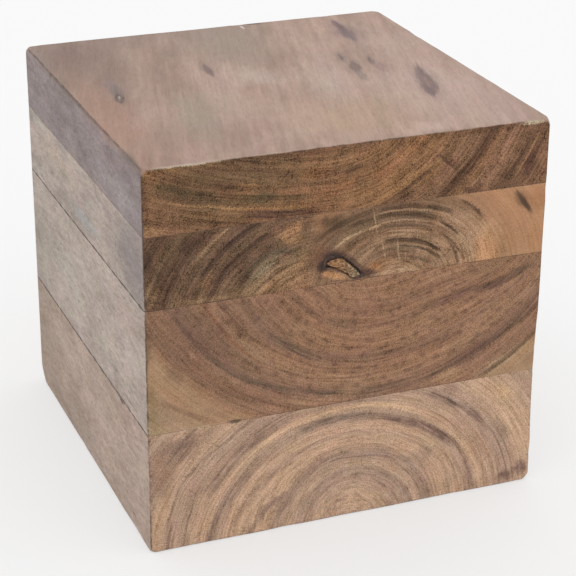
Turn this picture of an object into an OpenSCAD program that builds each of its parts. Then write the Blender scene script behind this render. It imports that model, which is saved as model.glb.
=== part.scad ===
// Timber cube for use as a low stool, side table or plinth. Four solid boards
// lie one on another, glued face to face, and the block is sanded all over.
// Millimetres, +Z up. The origin is the middle of the base. The grain of every
// board runs along Y, so the front (-Y) and the back (+Y) show end grain.

/* [Block] */
// Width of the block, left to right
block_w = 250; // [200:1:320]
// Depth of the block, front to back
block_d = 250; // [200:1:320]

/* [Boards] */
// Thickness of the bottom board
bottom_board_t = 78; // [60:1:100]
// Thickness of the lower board
lower_board_t = 78; // [60:1:100]
// Thickness of the upper board
upper_board_t = 44; // [36:1:60]
// Thickness of the top board
top_board_t = 40; // [30:1:60]

/* [Sanded edges] */
// Radius of the four upright edges
upright_edge_r = 1.2; // [0.5:0.1:4]
// Radius of the edges round the top face
top_edge_r = 1.5; // [0.5:0.1:4]
// Radius of the edges round the base
base_edge_r = 1.5; // [0.5:0.1:4]

/* [Worn corners] */
// Radius of the knocked corner of the base, back left
back_left_corner_r = 16; // [8:1:30]
// Radius of the corner of the base, back right
back_right_corner_r = 6; // [4:1:20]
// Radius of the corner of the base, front left
front_left_corner_r = 6; // [4:1:20]
// Radius of the corner of the base, front right
front_right_corner_r = 8; // [4:1:20]
// Radius of the four corners of the top
top_corner_r = 4; // [2:1:12]

/* [Sanded hollow] */
// Depth of the hollow sanded into the right side, at the front edge
hollow_depth = 1.2; // [0.5:0.1:2]
// Height over which the hollow runs out
hollow_span = 90; // [60:1:110]
// Height of the hollow's middle below the joint of the bottom and lower boards
hollow_drop = 5; // [0:1:10]

/* [Loose knot] */
// Distance of the knot's middle from the left side
knot_inset = 119; // [60:1:140]
// Thickness of the wood left between the knot's pocket and the joint below it
knot_floor = 0.6; // [0.4:0.1:4]
// Length of the knot along its slant
knot_l = 25; // [18:0.5:30]
// Width of the knot across its slant
knot_w = 8; // [6:0.5:10]
// Slant of the knot, falling to the right
knot_slant = 30; // [20:1:40]
// Width of the open gap between the knot and the wood above it
knot_gap = 2.4; // [1.5:0.1:3]
// Depth of the open gap
knot_gap_depth = 5; // [3:0.5:10]
// Depth of the loose knot's face below the front of the block
knot_sink = 0.8; // [0.3:0.1:2]

/* [Hidden] */
$fn = 96;

// Height of each board's lower face, and of the whole block
lower_board_z = bottom_board_t;
upper_board_z = lower_board_z + lower_board_t;
top_board_z = upper_board_z + upper_board_t;
block_h = top_board_z + top_board_t;

// How far a cut, or one of two joined outlines, runs past where it meets the other
overlap = 1;

// Radius of the ball that leaves the hollow, from its span and depth
hollow_r = (pow(hollow_span / 2, 2) + pow(hollow_depth, 2)) / (2 * hollow_depth);

// Outline of the knot's pocket, a slot that holds the knot and the gap above it
pocket_l = knot_l + knot_gap;
pocket_w = knot_w + knot_gap;

// Place of the pocket's middle on the front of the block
knot_x = knot_inset - block_w / 2;
knot_z = upper_board_z + knot_floor + pocket_w / 2 + (pocket_l - pocket_w) / 2 * sin(knot_slant);

// Rectangle centred on X, standing on Y = 0, with a radius for its two lower
// corners and another for its two upper ones
module eased_rectangle(w, h, lower_r, upper_r) {
    upper_reach = w / 2 - upper_r;
    lower_reach = w / 2 - lower_r;
    translate([-w / 2, lower_r]) square([w, h - lower_r - upper_r]);
    translate([-lower_reach, 0]) square([2 * lower_reach, lower_r + overlap]);
    translate([-upper_reach, h - upper_r - overlap]) square([2 * upper_reach, upper_r + overlap]);
    for (side = [-1, 1]) {
        translate([side * lower_reach, lower_r]) circle(lower_r);
        translate([side * upper_reach, h - upper_r]) circle(upper_r);
    }
}

// Upright prism with the plan of the block
module plan_prism() {
    linear_extrude(block_h)
        translate([0, -block_d / 2])
            eased_rectangle(block_w, block_d, upright_edge_r, upright_edge_r);
}

// Prism along Y with the outline of the front
module front_prism() {
    translate([0, block_d / 2, 0])
        rotate([90, 0, 0])
            linear_extrude(block_d)
                eased_rectangle(block_w, block_h, base_edge_r, top_edge_r);
}

// Prism along X with the outline of the side
module side_prism() {
    rotate([0, 0, 90])
        translate([0, block_w / 2, 0])
            rotate([90, 0, 0])
                linear_extrude(block_w)
                    eased_rectangle(block_d, block_h, base_edge_r, top_edge_r);
}

// What is lost from a corner that lies at the origin, with the wood towards
// +X, +Y and +Z. The ball gives each of the three faces a corner of radius r.
module corner_loss(r) {
    difference() {
        translate([-overlap, -overlap, -overlap]) cube(r + overlap);
        translate([r, r, r]) sphere(r * sqrt(2));
    }
}

// Corner of the base: side is -1 on the left and 1 on the right, and end is -1
// at the front and 1 at the back
module base_corner_loss(side, end, r) {
    translate([side * block_w / 2, end * block_d / 2, 0])
        mirror([side > 0 ? 1 : 0, 0, 0])
            mirror([0, end > 0 ? 1 : 0, 0])
                corner_loss(r);
}

// Corner of the top, with the same sides and ends
module top_corner_loss(side, end, r) {
    translate([0, 0, block_h])
        mirror([0, 0, 1])
            base_corner_loss(side, end, r);
}

// Shallow dish in the right side, deepest at the front edge
module hollow() {
    translate([block_w / 2 + hollow_r - hollow_depth, -block_d / 2, lower_board_z - hollow_drop])
        sphere(hollow_r, $fn = 360);
}

// The block's wood between two heights, with its edges sanded
module board_between(z0, z1) {
    intersection() {
        plan_prism();
        front_prism();
        side_prism();
        translate([-block_w / 2, -block_d / 2, z0]) cube([block_w, block_d, z1 - z0]);
    }
}

// Slot outline with round ends, centred on the origin and lying along X
module slot(l, w) {
    square([l - w, w], center = true);
    for (side = [-1, 1])
        translate([side * (l - w) / 2, 0]) circle(w / 2);
}

// Cuts an outline, drawn about the knot's middle with the knot lying along X,
// into the front of the block
module knot_cut(depth) {
    translate([knot_x, depth - block_d / 2, knot_z])
        rotate([90, 0, 0])
            linear_extrude(depth + overlap)
                rotate(-knot_slant)
                    children();
}

// Outline of the loose knot, resting on the lower side of its pocket
module knot_outline() {
    translate([0, -knot_gap / 2]) slot(knot_l, knot_w);
}

// The gap lies above the knot and round its two ends, and the knot's own face
// sits just under the front of the block
module knot_pocket() {
    knot_cut(knot_gap_depth)
        difference() {
            slot(pocket_l, pocket_w);
            knot_outline();
        }
    knot_cut(knot_sink) knot_outline();
}

module bottom_board() {
    color("#A98A6C")
        difference() {
            board_between(0, lower_board_z);
            base_corner_loss(-1, 1, back_left_corner_r);
            base_corner_loss(1, 1, back_right_corner_r);
            base_corner_loss(-1, -1, front_left_corner_r);
            base_corner_loss(1, -1, front_right_corner_r);
            hollow();
        }
}

module lower_board() {
    color("#94704F")
        difference() {
            board_between(lower_board_z, upper_board_z);
            hollow();
        }
}

module upper_board() {
    color("#8B7055")
        difference() {
            board_between(upper_board_z, top_board_z);
            knot_pocket();
        }
}

module top_board() {
    color("#83644A")
        difference() {
            board_between(top_board_z, block_h);
            for (side = [-1, 1])
                for (end = [-1, 1])
                    top_corner_loss(side, end, top_corner_r);
        }
}

bottom_board();
lower_board();
upper_board();
top_board();
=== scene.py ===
import math

import bmesh
import bpy
from mathutils import Euler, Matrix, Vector, noise


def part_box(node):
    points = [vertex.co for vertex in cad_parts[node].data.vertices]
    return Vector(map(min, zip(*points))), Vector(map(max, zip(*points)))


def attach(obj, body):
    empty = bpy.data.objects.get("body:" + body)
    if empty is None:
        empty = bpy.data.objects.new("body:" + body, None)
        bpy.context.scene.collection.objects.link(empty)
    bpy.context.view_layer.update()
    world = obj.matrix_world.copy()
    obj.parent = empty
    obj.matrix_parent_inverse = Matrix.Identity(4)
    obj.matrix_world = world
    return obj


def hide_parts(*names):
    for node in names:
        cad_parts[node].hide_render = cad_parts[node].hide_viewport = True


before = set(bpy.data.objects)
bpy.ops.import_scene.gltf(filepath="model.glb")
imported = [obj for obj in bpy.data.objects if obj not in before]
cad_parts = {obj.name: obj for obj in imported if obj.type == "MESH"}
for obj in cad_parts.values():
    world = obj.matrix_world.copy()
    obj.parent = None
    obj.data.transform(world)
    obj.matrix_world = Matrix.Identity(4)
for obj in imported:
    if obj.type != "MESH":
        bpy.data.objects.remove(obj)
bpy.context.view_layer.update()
print("frame loaded:", ", ".join(sorted(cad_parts)))

mm = 0.001
scene = bpy.context.scene


def linearColour(code):
    # an sRGB hex value as the linear colour that a node expects
    parts = [int(code[i:i + 2], 16) / 255 for i in (1, 3, 5)]
    return [p / 12.92 if p <= 0.04045 else ((p + 0.055) / 1.055) ** 2.4 for p in parts] + [1.0]


def add(tree, kind, *feeds, out=0, **settings):
    # adds a node, such as "Math ADD", and gives back one of its outputs, or all of them for out=None;
    # the feeds are numbers or links for its inputs, in their order or in a dictionary by name or place
    family, mode = (kind + " ").split(" ")[:2]
    node = tree.nodes.new(family if family.startswith("Geometry") else "ShaderNode" + family)
    if mode:
        setattr(node, "operation" if hasattr(node, "operation") else "interpolation_type", mode)
    for name, value in settings.items():
        if name == "stops":
            ramp = node.color_ramp
            while len(ramp.elements) < len(value):
                ramp.elements.new(0.5)
            for element, (place, code) in zip(ramp.elements, value):
                element.position = place
                element.color = linearColour(code)
        elif name == "points":
            curve = node.mapping.curves[0]
            while len(curve.points) < len(value):
                curve.points.new(0.5, 0.5)
            for point, place in zip(curve.points, value):
                point.location = place
            node.mapping.update()
        else:
            setattr(node, name, value)
    named = feeds and isinstance(feeds[0], dict)
    for socket, value in (feeds[0].items() if named else enumerate(feeds)):
        if isinstance(value, bpy.types.NodeSocket):
            tree.links.new(value, node.inputs[socket])
        else:
            node.inputs[socket].default_value = value
    return node.outputs if out is None else node.outputs[out]


def startGroup(name, kind, inputs, outputs):
    # an empty node group with named sockets: inputs hold (name, type, value), outputs (name, type)
    tree = bpy.data.node_groups.new(name, kind)
    for label, form, value in inputs:
        socket = tree.interface.new_socket(name=label, in_out="INPUT", socket_type="NodeSocket" + form)
        if value is not None:
            socket.default_value = value
    for label, form in outputs:
        tree.interface.new_socket(name=label, in_out="OUTPUT", socket_type="NodeSocket" + form)
    return tree, tree.nodes.new("NodeGroupInput").outputs, tree.nodes.new("NodeGroupOutput").inputs


block = {
    "halfSize": (125.0, 125.0, 120.0),   # mm
    "edgeRadius": (0.8, 1.9),            # sanded arrises, narrowest and widest
    "edgeDrift": 38.0,                   # length over which the arris varies
    "jointRadius": (0.15, 0.4),          # where two boards meet
    "jointDrift": 22.0,
    "baseCorners": {"Front left": 6.0, "Front right": 8.0, "Back left": 16.0, "Back right": 6.0},
    "topCorner": 8.0,
    "waveHeight": 0.28,                  # hand sanding leaves the faces slightly wavy
    "waveLength": 52.0,
    "waveDepth": 30.0,                   # below a face, where its waves have faded out
    "hollowPlace": (125.0, -125.0, 73.0),
    "hollowDepth": 1.2,
    "hollowSpan": 90.0,
    "stations": (0, 0.25, 0.5, 0.8, 1.15, 1.6, 2.2, 3.0, 4.2, 6, 8, 10.2, 12.6, 15.2, 18),
    "step": 4.0,
    "smoothAngle": 40,
}

# chips knocked out of the arrises: place, reach along the arris, extra radius (mm)
chips = [
    ((-118, -125, 240), 5, 0.7), ((-106, -125, 240), 9, 0.9), ((-90, -125, 240), 7, 0.6),
    ((-121, 121, 240), 9, 1.4), ((-66, -125, 240), 5, 0.5), ((-14, -125, 240), 4, 0.5),
    ((62, -125, 240), 6, 0.6), ((119, -125, 240), 7, 1.3), ((125, -125, 196), 8, 0.9),
    ((-125, -125, 156), 4, 1.2), ((-125, -125, 203), 6, 0.8), ((-125, -125, 96), 7, 0.7),
    ((-125, -125, 31), 9, 0.6), ((125, -125, 78), 6, 0.6), ((125, -125, 20), 7, 0.8),
    ((-125, 40, 240), 8, 0.7), ((-125, -72, 240), 7, 0.6), ((22, 125, 240), 5, 1.0),
    ((84, 125, 240), 7, 0.8), ((125, 60, 240), 9, 0.8), ((-40, -125, 0), 8, 0.7),
    ((70, -125, 0), 9, 0.6), ((-125, 20, 0), 8, 0.8),
]


def foldedSpot(tree, spot, middle):
    # a spot measured from a middle, the signs of its parts, and the same spot folded to the positive side
    local = add(tree, "VectorMath SUBTRACT", spot, middle)
    side = add(tree, "VectorMath SIGN", local)
    return local, side, add(tree, "VectorMath ABSOLUTE", local)


def wanderingRadius(tree, spot, drift, least, most, detail, roughness, spread):
    # a radius that wanders between two values along an arris
    scale = add(tree, "Math DIVIDE", 1.0, drift)
    signal = add(tree, "TexNoise", {"Vector": spot, "Scale": scale, "Detail": detail,
                                    "Roughness": roughness})
    return add(tree, "MapRange", signal, 0.5 - spread, 0.5 + spread, least, most)


def shareInReach(tree, arm, radius):
    # how far along an arm its ball reaches, 1 where the arm ends inside it
    reach = add(tree, "VectorMath LENGTH", arm, out=1)
    reach = add(tree, "Math MAXIMUM", reach, 0.0001)
    share = add(tree, "Math DIVIDE", radius, reach)
    return add(tree, "Math MINIMUM", share, 1.0)


def shortened(tree, centre, arm, share):
    arm = add(tree, "VectorMath SCALE", {0: arm, 3: share})
    return add(tree, "VectorMath ADD", centre, arm)


def easedArris(tree, folded, half, radius):
    inner = add(tree, "VectorMath SUBTRACT", half, radius)
    core = add(tree, "VectorMath MINIMUM", folded, inner)
    arm = add(tree, "VectorMath SUBTRACT", folded, core)
    return shortened(tree, core, arm, shareInReach(tree, arm, radius))


def sandingTree():
    # takes a sharp-edged board to its sanded shape; every length inside is in millimetres
    ranges = [(label + end, "Float", block[key][i]) for label, key in (("Edge radius", "edgeRadius"),
              ("Joint radius", "jointRadius")) for i, end in enumerate((" least", " most"))]
    tree, given, result = startGroup("sandedBoard", "GeometryNodeTree", [
        ("Geometry", "Geometry", None), ("Timber", "Material", None),
        ("Half size", "Vector", block["halfSize"]),
        ("Board middle", "Float", 0.0), ("Board half height", "Float", 0.0), *ranges,
        ("Edge drift", "Float", block["edgeDrift"]), ("Joint drift", "Float", block["jointDrift"]),
        *[(label + " corner", "Float", radius) for label, radius in block["baseCorners"].items()],
        ("Top corner", "Float", block["topCorner"]),
        ("Wave height", "Float", block["waveHeight"]), ("Wave length", "Float", block["waveLength"]),
        ("Hollow place", "Vector", block["hollowPlace"]),
        ("Hollow depth", "Float", block["hollowDepth"]), ("Hollow span", "Float", block["hollowSpan"]),
    ], [("Geometry", "Geometry")])
    half = given["Half size"]
    start = add(tree, "VectorMath SCALE", {0: add(tree, "GeometryNodeInputPosition"), 3: 1 / mm})

    # 1. the two arrises where this board meets its neighbours
    lift = add(tree, "CombineXYZ", {2: given["Board middle"]})
    local, side, folded = foldedSpot(tree, start, lift)
    halfParts = add(tree, "SeparateXYZ", half, out=None)
    boardHalf = add(tree, "CombineXYZ", halfParts[0], halfParts[1], given["Board half height"])
    jointRadius = wanderingRadius(tree, start, given["Joint drift"], given["Joint radius least"],
                                  given["Joint radius most"], 3.0, 0.5, 0.15)
    folded = easedArris(tree, folded, boardHalf, jointRadius)
    local = add(tree, "VectorMath MULTIPLY", folded, side)
    jointed = add(tree, "VectorMath ADD", local, lift)

    # 2. the outer arrises of the whole block, with their chips
    blockLift = add(tree, "CombineXYZ", {2: halfParts[2]})
    local, side, folded = foldedSpot(tree, jointed, blockLift)
    edgeRadius = wanderingRadius(tree, start, given["Edge drift"], given["Edge radius least"],
                                 given["Edge radius most"], 4.0, 0.6, 0.2)
    wear = add(tree, "GeometryNodeInputNamedAttribute", "chipDepth", data_type="FLOAT")
    edgeRadius = add(tree, "Math ADD", edgeRadius, wear)
    folded = easedArris(tree, folded, half, edgeRadius)

    # 3. the corners, each as a ball that reaches out to its three arrises
    parts = add(tree, "SeparateXYZ", local, out=None)
    isRight, isBack, isTop = [add(tree, "Math GREATER_THAN", part, 0.0) for part in parts]
    front = add(tree, "Mix", {0: isRight, 2: given["Front left corner"], 3: given["Front right corner"]})
    back = add(tree, "Mix", {0: isRight, 2: given["Back left corner"], 3: given["Back right corner"]})
    cornerRadius = add(tree, "Mix", {0: isBack, 2: front, 3: back})
    cornerRadius = add(tree, "Mix", {0: isTop, 2: cornerRadius, 3: given["Top corner"]})
    centre = add(tree, "VectorMath SUBTRACT", half, cornerRadius)
    arm = add(tree, "VectorMath SUBTRACT", folded, centre)
    armParts = add(tree, "SeparateXYZ", arm, out=None)
    least = add(tree, "Math MINIMUM", armParts[0], armParts[1])
    least = add(tree, "Math MINIMUM", least, armParts[2])
    inCorner = add(tree, "Math GREATER_THAN", least, 0.0)
    ball = add(tree, "Math MULTIPLY", cornerRadius, math.sqrt(2))
    share = add(tree, "Mix", {0: inCorner, 2: 1.0, 3: shareInReach(tree, arm, ball)})
    folded = shortened(tree, centre, arm, share)

    # 4. waves, always inwards, fading out below each face
    waveScale = add(tree, "Math DIVIDE", 1.0, given["Wave length"])
    waves = add(tree, "TexNoise", {"Vector": start, "Scale": waveScale, "Detail": 2.0}, out=1)
    faded = add(tree, "VectorMath SUBTRACT", half, [block["waveDepth"]] * 3)
    nearFace = add(tree, "MapRange SMOOTHSTEP", {6: folded, 7: faded, 8: half}, out=1,
                   data_type="FLOAT_VECTOR")
    waves = add(tree, "VectorMath MULTIPLY", waves, nearFace)
    waves = add(tree, "VectorMath SCALE", {0: waves, 3: given["Wave height"]})
    folded = add(tree, "VectorMath SUBTRACT", folded, waves)
    local = add(tree, "VectorMath MULTIPLY", folded, side)
    rounded = add(tree, "VectorMath ADD", local, blockLift)

    # 5. the shallow hollow in the right side
    away = add(tree, "VectorMath DISTANCE", rounded, given["Hollow place"], out=1)
    halfSpan = add(tree, "Math MULTIPLY", given["Hollow span"], 0.5)
    away = add(tree, "Math DIVIDE", away, halfSpan)
    away = add(tree, "Math POWER", away, 2.0)
    dip = add(tree, "MapRange", away, 0.0, 1.0, given["Hollow depth"], 0.0)
    dip = add(tree, "CombineXYZ", dip)
    shaped = add(tree, "VectorMath SUBTRACT", rounded, dip)

    place = add(tree, "VectorMath SCALE", {0: shaped, 3: mm})
    moved = add(tree, "GeometryNodeSetPosition", {"Geometry": given["Geometry"], "Position": place})
    whole = add(tree, "GeometryNodeRealizeInstances", moved)
    finished = add(tree, "GeometryNodeSetMaterial", {"Geometry": whole, "Material": given["Timber"]})
    tree.links.new(finished, result[0])
    return tree


def linesAcross(low, high):
    # where the grid lines of a face run: close at the arrises, even between them
    stations = block["stations"]
    span = high - low - 2 * stations[-1]
    count = max(1, round(span / block["step"]))
    middle = [low + stations[-1] + span * i / count for i in range(1, count)]
    return [low + s for s in stations] + middle + [high - s for s in reversed(stations)]


def chipDepth(spot):
    depth = 0.0
    for place, reach, extra in chips:
        away = (spot - Vector(place)).length / reach
        if away < 1:
            depth = max(depth, extra * (1 - away * away) ** 2)
    return depth


def boardShell(name, low, high, atlas):
    # a closed box with sharp edges, gridded, with a texture layout for the exported model
    lines = [linesAcross(low[axis], high[axis]) for axis in range(3)]
    spots, index, faces, uvs = [], {}, [], []

    def pointAt(key):
        if key not in index:
            index[key] = len(spots)
            spots.append(Vector([lines[axis][key[axis]] for axis in range(3)]))
        return index[key]

    sideNames = (("left", "right"), ("front", "back"), ("under", "over"))
    for axis in range(3):
        b, c = (axis + 1) % 3, (axis + 2) % 3
        flat = ((1, 2), (0, 2), (0, 1))[axis]
        for end in (0, 1):
            u0, v0, scale = atlas[sideNames[axis][end]]
            for i in range(len(lines[b]) - 1):
                for j in range(len(lines[c]) - 1):
                    ring = [(i, j), (i + 1, j), (i + 1, j + 1), (i, j + 1)]
                    if not end:
                        ring.reverse()
                    keys = []
                    for p, q in ring:
                        key = [0, 0, 0]
                        key[axis], key[b], key[c] = end * (len(lines[axis]) - 1), p, q
                        keys.append(tuple(key))
                    faces.append([pointAt(key) for key in keys])
                    for key in keys:
                        s, t = [lines[way][key[way]] - low[way] for way in flat]
                        uvs += [u0 + s * scale, v0 + t * scale]
    mesh = bpy.data.meshes.new(name)
    mesh.from_pydata([spot * mm for spot in spots], [], faces)
    wear = mesh.attributes.new("chipDepth", "FLOAT", "POINT")
    wear.data.foreach_set("value", [chipDepth(spot) for spot in spots])
    mesh.uv_layers.new(name="OFBake").data.foreach_set("uv", uvs)
    return placed(name, mesh)


def placed(name, mesh):
    piece = bpy.data.objects.new(name, mesh)
    scene.collection.objects.link(piece)
    return piece


def freeze(piece):
    # the evaluated shape becomes the piece's own mesh, and its modifiers go
    view = bpy.context.evaluated_depsgraph_get()
    mesh = bpy.data.meshes.new_from_object(piece.evaluated_get(view), preserve_all_data_layers=True,
                                           depsgraph=view)
    piece.modifiers.clear()
    piece.data = mesh


def smooth(piece, angle):
    piece.data.shade_smooth()
    piece.data.set_sharp_from_angle(angle=math.radians(angle))


def sand(piece, tree, middle, halfHeight, material):
    modifier = piece.modifiers.new("sanding", "NODES")
    modifier.node_group = tree
    values = {"Board middle": middle, "Board half height": halfHeight, "Timber": material}
    for item in tree.interface.items_tree:
        if item.item_type == "SOCKET" and item.in_out == "INPUT" and item.name in values:
            modifier[item.identifier] = values[item.name]
    freeze(piece)
    if "chipDepth" in piece.data.attributes:
        piece.data.attributes.remove(piece.data.attributes["chipDepth"])


def growthLineGroup():
    # one dark or pale ring, or a part of one: how strongly it shows at a spot
    tree, given, result = startGroup("growthLine", "ShaderNodeTree", [
        ("Across", "Float", 0.0), ("Along", "Float", 0.0), ("From", "Float", 0.0), ("To", "Float", 1.0),
        ("Across at from", "Float", 0.0), ("Across at to", "Float", 0.0), ("Half width", "Float", 2.0),
        ("Fade", "Float", 5.0)], [("Show", "Float")])
    across, along, start, end, acrossStart, acrossEnd, halfWidth, fade = [given[i] for i in range(8)]
    course = add(tree, "MapRange", along, start, end, acrossStart, acrossEnd)
    gap = add(tree, "Math SUBTRACT", across, course)
    gap = add(tree, "Math ABSOLUTE", gap)
    crisp = add(tree, "Math MULTIPLY", halfWidth, 0.3)
    body = add(tree, "MapRange SMOOTHSTEP", gap, crisp, halfWidth, 1.0, 0.0)
    started = add(tree, "Math ADD", start, fade)
    rise = add(tree, "MapRange SMOOTHSTEP", along, start, started)
    ending = add(tree, "Math SUBTRACT", end, fade)
    fall = add(tree, "MapRange SMOOTHSTEP", along, ending, end, 1.0, 0.0)
    show = add(tree, "Math MULTIPLY", body, rise)
    show = add(tree, "Math MULTIPLY", show, fall)
    tree.links.new(show, result[0])
    return tree


def placedAxes(halfSizes, turn):
    # the three axes of a patch turned by degrees about x, y and z, each divided by its half size
    turned = Euler([math.radians(angle) for angle in turn]).to_matrix()
    return [turned.col[i] / halfSizes[i] for i in range(3)]


def patchGroup(name, count, more, label):
    # a group that measures a spot along the axes of a patch; dot products need less of the
    # shader's working memory than a mapping
    axes = [(order + " axis", "Vector", None) for order in ("First", "Second", "Third")[:count]]
    tree, given, result = startGroup(name, "ShaderNodeTree", [
        ("Spot", "Vector", None), ("Centre", "Vector", None), *axes, *more], [(label, "Float")])
    arm = add(tree, "VectorMath SUBTRACT", given[0], given[1])
    parts = [add(tree, "VectorMath DOT_PRODUCT", arm, given[2 + i], out=1) for i in range(count)]
    return tree, given, result, parts


def blotchGroup():
    # a soft oval patch: how strongly it shows at a spot
    tree, given, result, parts = patchGroup("blotch", 3, [("Core", "Float", 0.2)], "Show")
    local = add(tree, "CombineXYZ", *parts)
    away = add(tree, "VectorMath LENGTH", local, out=1)
    show = add(tree, "MapRange SMOOTHSTEP", away, given["Core"], 1.0, 1.0, 0.0)
    tree.links.new(show, result[0])
    return tree


def spindleGroup():
    # a knot cut along the grain: a lens with pointed ends, 0 in the middle and 1 at its outline
    tree, _, result, parts = patchGroup("spindle", 2, [], "Out")
    wide = add(tree, "Math ABSOLUTE", parts[0])
    away = add(tree, "Math MULTIPLY_ADD", parts[1], parts[1], wide)
    tree.links.new(away, result[0])
    return tree


growthLine = growthLineGroup()
blotch = blotchGroup()
spindle = spindleGroup()


def overlay(tree, colour, tone, show, *shares):
    # lays a tone over the colour where it shows, weakened by each of the shares
    for share in shares:
        show = add(tree, "Math MULTIPLY", show, share)
    return add(tree, "Mix", {0: show, 6: colour, 7: linearColour(tone)}, out=2, data_type="RGBA")


def blotches(tree, colour, spot, patches, core):
    # soft patches over the colour: centre, half sizes, turn about each axis, tone and strength
    for centre, halfSizes, turn, tone, strength in patches:
        axes = placedAxes(halfSizes, turn)
        show = add(tree, "Group", spot, centre, *axes, core, node_tree=blotch)
        colour = overlay(tree, colour, tone, show, strength)
    return colour


def ringField(tree, spot, figure):
    # where a spot lies among the rings: mm across them from the pith, and degrees along them
    parts = add(tree, "SeparateXYZ", spot, out=None)
    leftStretch, rightStretch, upStretch = figure["stretch"]
    sideways = add(tree, "Math SUBTRACT", parts[0], figure["pith"][0])
    rightPart = add(tree, "Math MAXIMUM", sideways, 0.0)
    leftPart = add(tree, "Math MINIMUM", sideways, 0.0)
    leftPart = add(tree, "Math MULTIPLY", leftPart, leftStretch)
    sideways = add(tree, "Math MULTIPLY_ADD", rightPart, rightStretch, leftPart)
    upwards = add(tree, "Math SUBTRACT", parts[2], figure["pith"][1])
    upwards = add(tree, "Math MULTIPLY", upwards, upStretch)
    arm = add(tree, "CombineXYZ", sideways, upwards)
    across = add(tree, "VectorMath LENGTH", arm, out=1)
    turn = add(tree, "Math ARCTAN2", upwards, sideways)
    along = add(tree, "Math DEGREES", turn)
    if "bend" in figure:
        bend = figure["bend"]
        place = add(tree, "MapRange", along, bend["from"], bend["to"])
        push = add(tree, "FloatCurve", {"Value": place}, points=bend["points"])
        push = add(tree, "MapRange", push, 0.0, 1.0, bend["least"], bend["most"])
        share = add(tree, "MapRange", across, bend["none"], bend["full"])
        push = add(tree, "Math MULTIPLY", push, share)
        across = add(tree, "Math ADD", across, push)
    return across, along


def crispNoise(tree, spot, low, high, detail, roughness):
    # noise with its middle stretched out, from -0.5 to 0.5
    signal = add(tree, "TexNoise", {"Vector": spot, "Scale": 1.0, "Detail": detail, "Roughness": roughness})
    return add(tree, "MapRange", signal, low, high, -0.5, 0.5)


def driftNoise(tree, spot, scale, detail, roughness):
    # three noises at once, each around zero; taken apart and put together again, which keeps the
    # shader's working memory small
    signal = add(tree, "TexNoise", {"Vector": spot, "Scale": scale, "Detail": detail,
                                    "Roughness": roughness}, out=1)
    parts = add(tree, "SeparateColor", signal, out=None)
    whole = add(tree, "CombineXYZ", *parts)
    return add(tree, "VectorMath SUBTRACT", whole, (0.5, 0.5, 0.5))


def ringSpot(tree, across, alongMm, wide, long, start=0.0):
    # a place in ring coordinates, drawn out along the rings
    return add(tree, "CombineXYZ", add(tree, "Math MULTIPLY_ADD", across, 1 / wide, start),
               add(tree, "Math MULTIPLY", alongMm, 1 / long))


# noises in the end grain: low and high end of the part that is stretched out, detail and roughness
endNoises = {
    "rays": (0.32, 0.68, 2.0, 0.6), "fineRings": (0.34, 0.66, 2.0, 0.7), "midRings": (0.32, 0.68, 2.0, 0.6),
    "breaks": (0.3, 0.7, 3.0, 0.7), "speckle": (0.36, 0.64, 1.0, 0.5), "pores": (0.56, 0.7, 2.0, 0.7),
    "mottle": (0.3, 0.7, 3.0, 0.65),
}


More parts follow.
